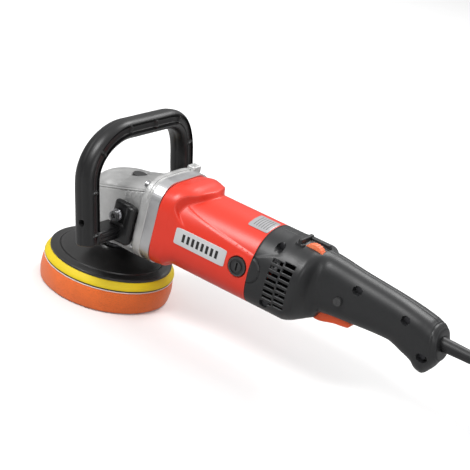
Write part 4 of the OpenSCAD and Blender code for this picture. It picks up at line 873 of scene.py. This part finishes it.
class POLISHER_OT_handle(bpy.types.Operator):
    """The two halves of the rear handle with vents, screw wells, dial well and seams, and the dial's guard"""
    bl_idname = "polisher.handle"
    bl_label = "Rear handle"

    def execute(self, context):
        wall = context.scene.polisher_sizes.wall
        for side, name, node in ((-1, "handle_near_skin", "handle_shell_near"),
                                 (1, "handle_far_skin", "handle_shell_far")):
            p, stations, band, first = half_handle(side)
            y0 = p[..., 1].copy()
            out = np.stack([0 * y0, y0, p[..., 2] - AXIS_Z], -1)
            out /= np.maximum(np.linalg.norm(out, axis=-1), 1e-6)[..., None]
            x, z = p[..., 0], p[..., 2]
            lip = bell(x - 195.2, 0.5) * 0.5
            seam = 0.45 * bell(y0, 0.7)
            edge = flow([195, 216, 230], [131.5, 141.5, 143.5], x)
            shelf = 0.8 * smooth_step((z - edge) / 1.0) * (1 - smooth_step((x - 216) / 9))
            shelf += 0.5 * bell(z - edge + 0.2, 0.6) * (1 - smooth_step((x - 216) / 5))
            arc = np.hypot(x - 195, (z - 117) * 0.88)
            tongue = (0.9 * bell(arc - 12.6, 0.8) - 0.7 * smooth_step((12.2 - arc) / 0.8)) * (np.abs(y0) > 20)
            collar = 0.7 * bell(x - X_TAIL + 4.6, 0.55)
            p -= out * (lip + seam + shelf + tongue + collar)[..., None]
            if side < 0:
                for sx, sz, sy in SHELL_SCREWS:
                    reach = np.hypot(x - sx, z - sz)
                    near = smooth_step((4.5 - reach) / 0.8)
                    p[..., 1] = p[..., 1] * (1 - near) - (sy + 0.4) * near
                dial = (smooth_step((x - 235.6) / 0.9) * smooth_step((256.6 - x) / 0.9)
                        * smooth_step((-y0 - 5.4) / 0.6) * smooth_step((y0 + 14.8) / 0.9) * (z > 140))
                p[..., 2] -= 0.8 * dial
            leaned(p)
            faces = grid_faces(*p.shape[:2])[~slot_mask(p, stations, band, first)]
            body = solid(name, [(p, faces, (0, 0, AXIS_Z))], 40)
            outward_from_axis(body)
            thick = body.modifiers.new("wall", "SOLIDIFY")
            thick.thickness, thick.offset = wall, -1.0
            settle(body, "handle_charcoal", replaces=[node])
        self.tail_cap()
        self.guard()
        return {"FINISHED"}

    def tail_cap(self):
        """The handle's end: its last section drawn in over a rounded edge to the hole round the cord
        guard."""
        angle = around(144)
        low, high, half, up, down = (float(v) for v in handle_size(X_TAIL))
        last = body_section(X_TAIL, low, high, half, up, down, angle)
        hole = np.stack([0 * angle, 7.9 * np.cos(angle), CORD_Z + 7.9 * np.sin(angle)], 1)
        middle = np.array([0, 0, CORD_Z])
        rows = []
        for draw, dx in ((0.6, -8.0), (0.3, -0.6), (0.05, 0.0), (0.6, 0.9), (1.8, 1.5), (3.2, 1.7)):
            out = last - middle
            out[:, 0] = 0
            q = last - out / np.linalg.norm(out, axis=1)[:, None] * draw
            q[:, 0] = X_TAIL + dx
            rows.append(q)
        edge = rows[-1]
        for t, dx in ((0.3, 1.8), (0.6, 1.8), (0.9, 1.7), (1.0, 1.2), (1.0, -6.0)):
            q = edge * (1 - t) + hole * t
            q[:, 0] = X_TAIL + dx
            rows.append(q)
        cap = leaned(np.stack(rows))
        piece = solid("handle_tail_skin",
                      [(cap, grid_faces(len(cap), 144, False, True), (X_TAIL - 8, 0, CORD_Z))], 40)
        settle(piece, "handle_charcoal", replaces=["handle_shell_near", "handle_shell_far"])

    def guard(self):
        parts = [rounded_block((228.6, -19.5, 150), (233.4, 7.0, 163.2), 1.6),
                 rounded_block((229.0, 0.8, 150), (256.5, 6.4, 162.0), 1.8),
                 rounded_block((245.0, 1.6, 148), (257.5, 5.8, 160.2), 1.9),
                 rounded_block((226.0, -19.5, 148), (236.5, -13.6, 158.6), 1.8)]
        piece = solid("dial_guard", parts, 40)
        settle(piece, "handle_charcoal", replaces=["handle_shell_near"])


def outward_from_axis(obj):
    """An open half shell: its faces are turned away from the handle's own middle line."""
    bm = bmesh.new()
    bm.from_mesh(obj.data)
    total = 0.0
    for f in bm.faces:
        c = f.calc_center_median()
        total += f.normal.dot(c - Vector((c.x, 0, AXIS_Z * MM))) * f.calc_area()
    if total < 0:
        bmesh.ops.reverse_faces(bm, faces=bm.faces)
    bm.to_mesh(obj.data)
    bm.free()


class POLISHER_OT_controls(bpy.types.Operator):
    """The trigger: its side outline, rounded at both flanks by drawing it in along its own normals"""
    bl_idname = "polisher.controls"
    bl_label = "Trigger"

    def execute(self, context):
        low = 81.0
        outline = np.array([(262, low + 3), (264, low + 1), (272, low + 1.5), (286, low + 6),
                            (300, low + 7.5), (305, low + 9), (305, low + 16), (272, low + 22),
                            (264, low + 20), (262, low + 16)], float)
        for _ in range(3):
            nxt = np.roll(outline, -1, 0)
            outline = np.stack([outline * 0.75 + nxt * 0.25, outline * 0.25 + nxt * 0.75], 1).reshape(-1, 2)
        t = np.roll(outline, -1, 0) - np.roll(outline, 1, 0)
        normal = np.stack([t[:, 1], -t[:, 0]], 1) / np.linalg.norm(t, axis=1)[:, None]
        rows = []
        for s in np.linspace(-1, 1, 33):
            y = 6.4 * s
            draw = 1.6 * (1 - math.sqrt(max(0.0, 1 - max(0.0, (abs(y) - 4.8) / 1.6) ** 2)))
            q = outline - normal * draw
            rows.append(np.stack([q[:, 0], np.full(len(q), y), q[:, 1]], 1))
        rows = np.stack(rows)
        ends = [rows[0].mean(0) + (rows[0] - rows[0].mean(0)) * k for k in (0.0, 0.5)]
        tail = [rows[-1].mean(0) + (rows[-1] - rows[-1].mean(0)) * k for k in (0.5, 0.0)]
        rings = np.concatenate([ends, rows, tail])
        trigger = solid("trigger_skin", [tube_part(rings)], 45)
        settle(trigger, "control_orange", "trigger_body", ["trigger"])
        return {"FINISHED"}


def loop_points():
    """The loop's centre line: up the near leg, round a corner, across the top, and down the far leg, leaning
    forward with height and easing upright above the knee."""
    w, c, top, foot = 89.0, 52.0, 199.0, 83.0
    leg = np.stack([np.full(40, -w), np.linspace(foot, top - c, 40)], 1)
    a = np.linspace(0, np.pi / 2, 44)[1:]
    corner = np.stack([-w + c - c * np.cos(a), top - c + c * np.sin(a)], 1)
    bar = np.stack([np.linspace(-w + c, 0, 22)[1:], np.full(21, top)], 1)
    half = np.concatenate([leg, corner, bar])
    other = half[::-1][1:] * (-1, 1)
    yz = np.concatenate([half, other])
    x = 11 - 0.285 * (yz[:, 1] - 130) + 0.0035 * np.maximum(0, yz[:, 1] - 140) ** 2
    return np.stack([x, yz[:, 0], yz[:, 1]], 1)


class POLISHER_OT_loop(bpy.types.Operator):
    """The loop handle: a rounded section with a ribbed channel carried along the loop, with its two
    brackets"""
    bl_idname = "polisher.loop"
    bl_label = "Loop handle"

    def execute(self, context):
        path, _ = resampled(loop_points(), 1.5)
        n = 112
        a = (np.arange(n) + 0.5) / n * 2 * np.pi
        reach = np.arange(len(path)) * 1.5
        base = np.stack([11.0 * signed_power(np.cos(a), 0.8), 13.0 * signed_power(np.sin(a), 0.8)], 1)
        from_rear = np.abs((a - np.pi / 2 + np.pi) % (2 * np.pi) - np.pi) * 180 / np.pi
        floor = smooth_step((27 - from_rear) / 3.5)
        ridge = bell(from_rear - 11, 2.2)
        rib = bell((reach + 14) % 46 - 23, 1.3)
        depth = (3.4 * floor * (1 - 0.75 * rib[:, None]) - 1.3 * ridge * floor)
        section = np.repeat(base[None], len(path), 0)
        section[..., 1] -= depth
        seam = 0.25 * bell(np.abs(np.cos(a)) - 1.0, 0.002)
        section[..., 0] -= np.sign(base[:, 0]) * seam
        rings = tube(path, section, np.array([1, 0, 0.285]) / math.hypot(1, 0.285))
        hole_z = 106.0
        hole_x = 11 - 0.285 * (hole_z - 130)
        for sign in (-1, 1):
            d = np.hypot(rings[..., 0] - hole_x, rings[..., 2] - hole_z)
            sunk = smooth_step((3.4 - d) / 0.8) * (rings[..., 1] * sign > 91)
            rings[..., 1] -= sign * 6.0 * sunk
        parts = [tube_part(capped(rings, 6, 3.0, 2.0))]
        ribs = context.scene.polisher_sizes.bracket_ribs
        for s in (-1, 1):
            def span(y0, y1):
                return (min(s * y0, s * y1), max(s * y0, s * y1))
            y = span(41.6, 53.0)
            parts.append(rounded_block((20, y[0], 80), (49, y[1], 103), 4.0))
            parts.append(rounded_block((37, y[0], 86), (49, y[1], 125.5), 4.4))
            y = span(41.6, 50.6)
            parts.append(rounded_block((20, y[0], 90), (44, y[1], 126.5), 4.3))
            y = span(44, 87)
            parts.append(rounded_block((13, y[0], 83), (35, y[1], 98), 3.0))
            for k in range(ribs):
                z = 84.8 + 4.8 * k
                y = span(50, 82)
                parts.append(rounded_block((12.2, y[0], z), (36.0, y[1], z + 2.0), 0.9))
        loop = solid("loop_handle_skin", parts, 42)
        settle(loop, "loop_charcoal", replaces=["loop_handle"])
        return {"FINISHED"}


class POLISHER_OT_gearcase(bpy.types.Operator):
    """The cast gear housing: walls carried round a D-shaped outline under a low crowned top, and its
    flange"""
    bl_idname = "polisher.gearcase"
    bl_label = "Gear housing"

    def execute(self, context):
        parts = [self.nose(), self.flange(), rounded_block((52.5, 27, 152), (63.5, 41, 165.6), 2.0),
                 rounded_block((46, -9, 150), (60, 9, 158), 2.5)]
        parts += [rounded_block((46.5, y - 1.3, 140), (56, y + 1.3, 155), 1.0) for y in (-36, -31, 31, 36)]
        case = solid("gear_housing_skin", parts, 34)
        settle(case, "cast_aluminium", replaces=["gear_housing"])
        return {"FINISHED"}

    def nose(self):
        """Outline: an arc of radius 37.5 about the spindle, then straight flanks that widen to 40.5 at the
        flange. Rows climb the wall to a ledge that rises aft, step in, then run to the middle line as a low
        crown."""
        a = np.linspace(np.pi / 2, 3 * np.pi / 2, 120)
        arc = np.stack([37.5 * np.cos(a), 37.5 * np.sin(a)], 1)
        s = np.linspace(0, 1, 50)[1:, None]
        near = np.array([[0, -37.5]]) * (1 - s) + np.array([[52, -40.5]]) * s
        far = near[::-1] * (1, -1)
        o = np.concatenate([far, arc, near])
        spine = np.stack([np.maximum(o[:, 0], 10.0), 0 * o[:, 0]], 1)
        ledge = flow([-38, -8, 48, 53], [118.0, 127.5, 145.5, 147.5], o[:, 0])
        crown = flow([10, 13, 32, 52], [141.0, 142.2, 147.5, 152.5], spine[:, 0])
        inward = spine - o
        inward /= np.linalg.norm(inward, axis=1)[:, None]
        base = flow([-38, 20, 53], [73.0, 73.0, 74.5], o[:, 0])
        rows = []

        def row(inset, z):
            rows.append(np.concatenate([o + inward * np.broadcast_to(inset, len(o))[:, None],
                                        np.broadcast_to(z, len(o))[:, None]], 1))

        row(16.0, 70.2)
        row(3.0, 70.2 + 0 * base)
        row(1.2, base + 0.2)
        row(0.3, base + 1.2)
        for t in np.linspace(0, 1, 34):
            row(0.0, base + 2.5 + (ledge - 3.2 - base - 2.5) * t)
        row(0.5, ledge - 2.7)
        row(0.7, ledge - 2.2)
        row(0.1, ledge - 1.6)
        row(-0.2, ledge - 0.9)
        row(0.6, ledge - 0.2)
        row(2.0, ledge + 0.2)
        edge = o + inward * 2.0
        for f in np.linspace(0, np.pi / 2, 26)[1:]:
            q = spine + (edge - spine) * math.cos(f) ** 0.9
            z = ledge + 0.2 + (crown - ledge - 0.2) * math.sin(f) ** 0.95
            rows.append(np.concatenate([q, z[:, None]], 1))
        p = np.stack(rows)
        x, y, z = p[..., 0], p[..., 1], p[..., 2]
        boss = smooth_step((12.6 - np.hypot(x - 29, z - 111)) / 1.2) * (np.abs(y) > 30)
        p[..., 1] = y * (1 - boss) + np.sign(y) * 41.5 * boss
        well = smooth_step((9.4 - np.hypot(x - 13, y)) / 1.0) * (z > 136)
        ring = bell(np.hypot(x - 13, y) - 10.6, 0.9) * (z > 132)
        p[..., 2] += -2.6 * well + 0.5 * ring
        for k in range(4):
            bump = bell(x - 26 - 6.2 * k,
                        1.0) * smooth_step((z - ledge[None, :] + 9) / 2) * (z < ledge[None, :] - 2.6)
            p[..., 1] += np.sign(y) * 0.9 * bump * (np.abs(y) > 30)
        return p, grid_faces(len(p), len(o)), (10, 0, 100)

    def flange(self):
        """A rounded square carried along X: a filleted front edge, a step for the top ribs, a parting
        line."""
        x = np.array([50.4, 50.6, 51.2, 52.2, 53.6, 56, 57.4, 57.9, 58.4, 59.5, 60.6, 61.2, 61.6, 61.9])
        draw = np.array([3.2, 1.9, 0.9, 0.25, 0.0, 0.0, 0.0, 0.9, 1.1, 1.0, 0.9, 0.2, 0.2, 0.7])
        angle = (np.arange(240) + 0.5) / 240 * 2 * np.pi
        ring = body_section(0.0, 66.0, 162.6, 48.0, 4.2, 4.2, angle)
        out = ring - (0, 0, AXIS_Z)
        out /= np.linalg.norm(out, axis=1)[:, None]
        top = smooth_step((ring[:, 2] - 135) / 8)
        share = np.where((x > 57) & (x < 61.5), 0.0, 1.0)[:, None] + np.where((x > 57) & (x < 61.5), 1.0,
                                                                              0.0)[:, None] * top[None, :]
        p = ring[None] - out[None] * (draw[:, None] * share)[..., None]
        p[..., 0] = x[:, None]
        front = [np.stack([np.full(240, 50.4), 30 * np.cos(angle), AXIS_Z + 30 * np.sin(angle)], 1), p[0]]
        rear = [np.stack([np.full(240, 61.9), 30 * np.cos(angle), AXIS_Z + 30 * np.sin(angle)], 1)]
        rings = np.concatenate([front[:1], p, rear])
        return rings, grid_faces(len(rings), 240, False, True), (56, 0, AXIS_Z)


class POLISHER_OT_finishes(bpy.types.Operator):
    """Gives every CAD node that shows the finish of its material slot"""
    bl_idname = "polisher.finishes"
    bl_label = "Finishes"

    def execute(self, context):
        for entry in frame["record"]["subparts"]:
            obj = frame["nodes"][entry["node"]]
            obj.data.materials.clear()
            dark = entry["node"] in ("trigger_pin", "handle_screws")
            obj.data.materials.append(material("hardened_steel" if dark else entry["material_slot"]))
        return {"FINISHED"}


STEPS = (POLISHER_OT_camera, POLISHER_OT_lead, POLISHER_OT_stage, POLISHER_OT_pad, POLISHER_OT_motor,
         POLISHER_OT_handle, POLISHER_OT_controls, POLISHER_OT_loop, POLISHER_OT_gearcase,
         POLISHER_OT_finishes)


class POLISHER_PT_panel(bpy.types.Panel):
    """Lists the steps and the settings in the 3D view's sidebar"""
    bl_idname = "POLISHER_PT_panel"
    bl_label = "Polisher"
    bl_space_type = "VIEW_3D"
    bl_region_type = "UI"
    bl_category = "Polisher"

    def draw(self, context):
        for group in (context.scene.polisher_sizes, context.scene.polisher_colours):
            for key in group.__annotations__:
                self.layout.prop(group, key)
        for step in STEPS:
            self.layout.operator(step.bl_idname)


CLASSES = (PolisherColours, PolisherSizes, *STEPS, POLISHER_PT_panel)


def register():
    for cls in CLASSES:
        bpy.utils.register_class(cls)
    bpy.types.Scene.polisher_colours = PointerProperty(type=PolisherColours)
    bpy.types.Scene.polisher_sizes = PointerProperty(type=PolisherSizes)


def unregister():
    del bpy.types.Scene.polisher_colours
    del bpy.types.Scene.polisher_sizes
    for cls in reversed(CLASSES):
        bpy.utils.unregister_class(cls)


def main():
    register()
    for step in STEPS:
        area, name = step.bl_idname.split(".")
        getattr(getattr(bpy.ops, area), name)()


if __name__ == "__main__":
    main()
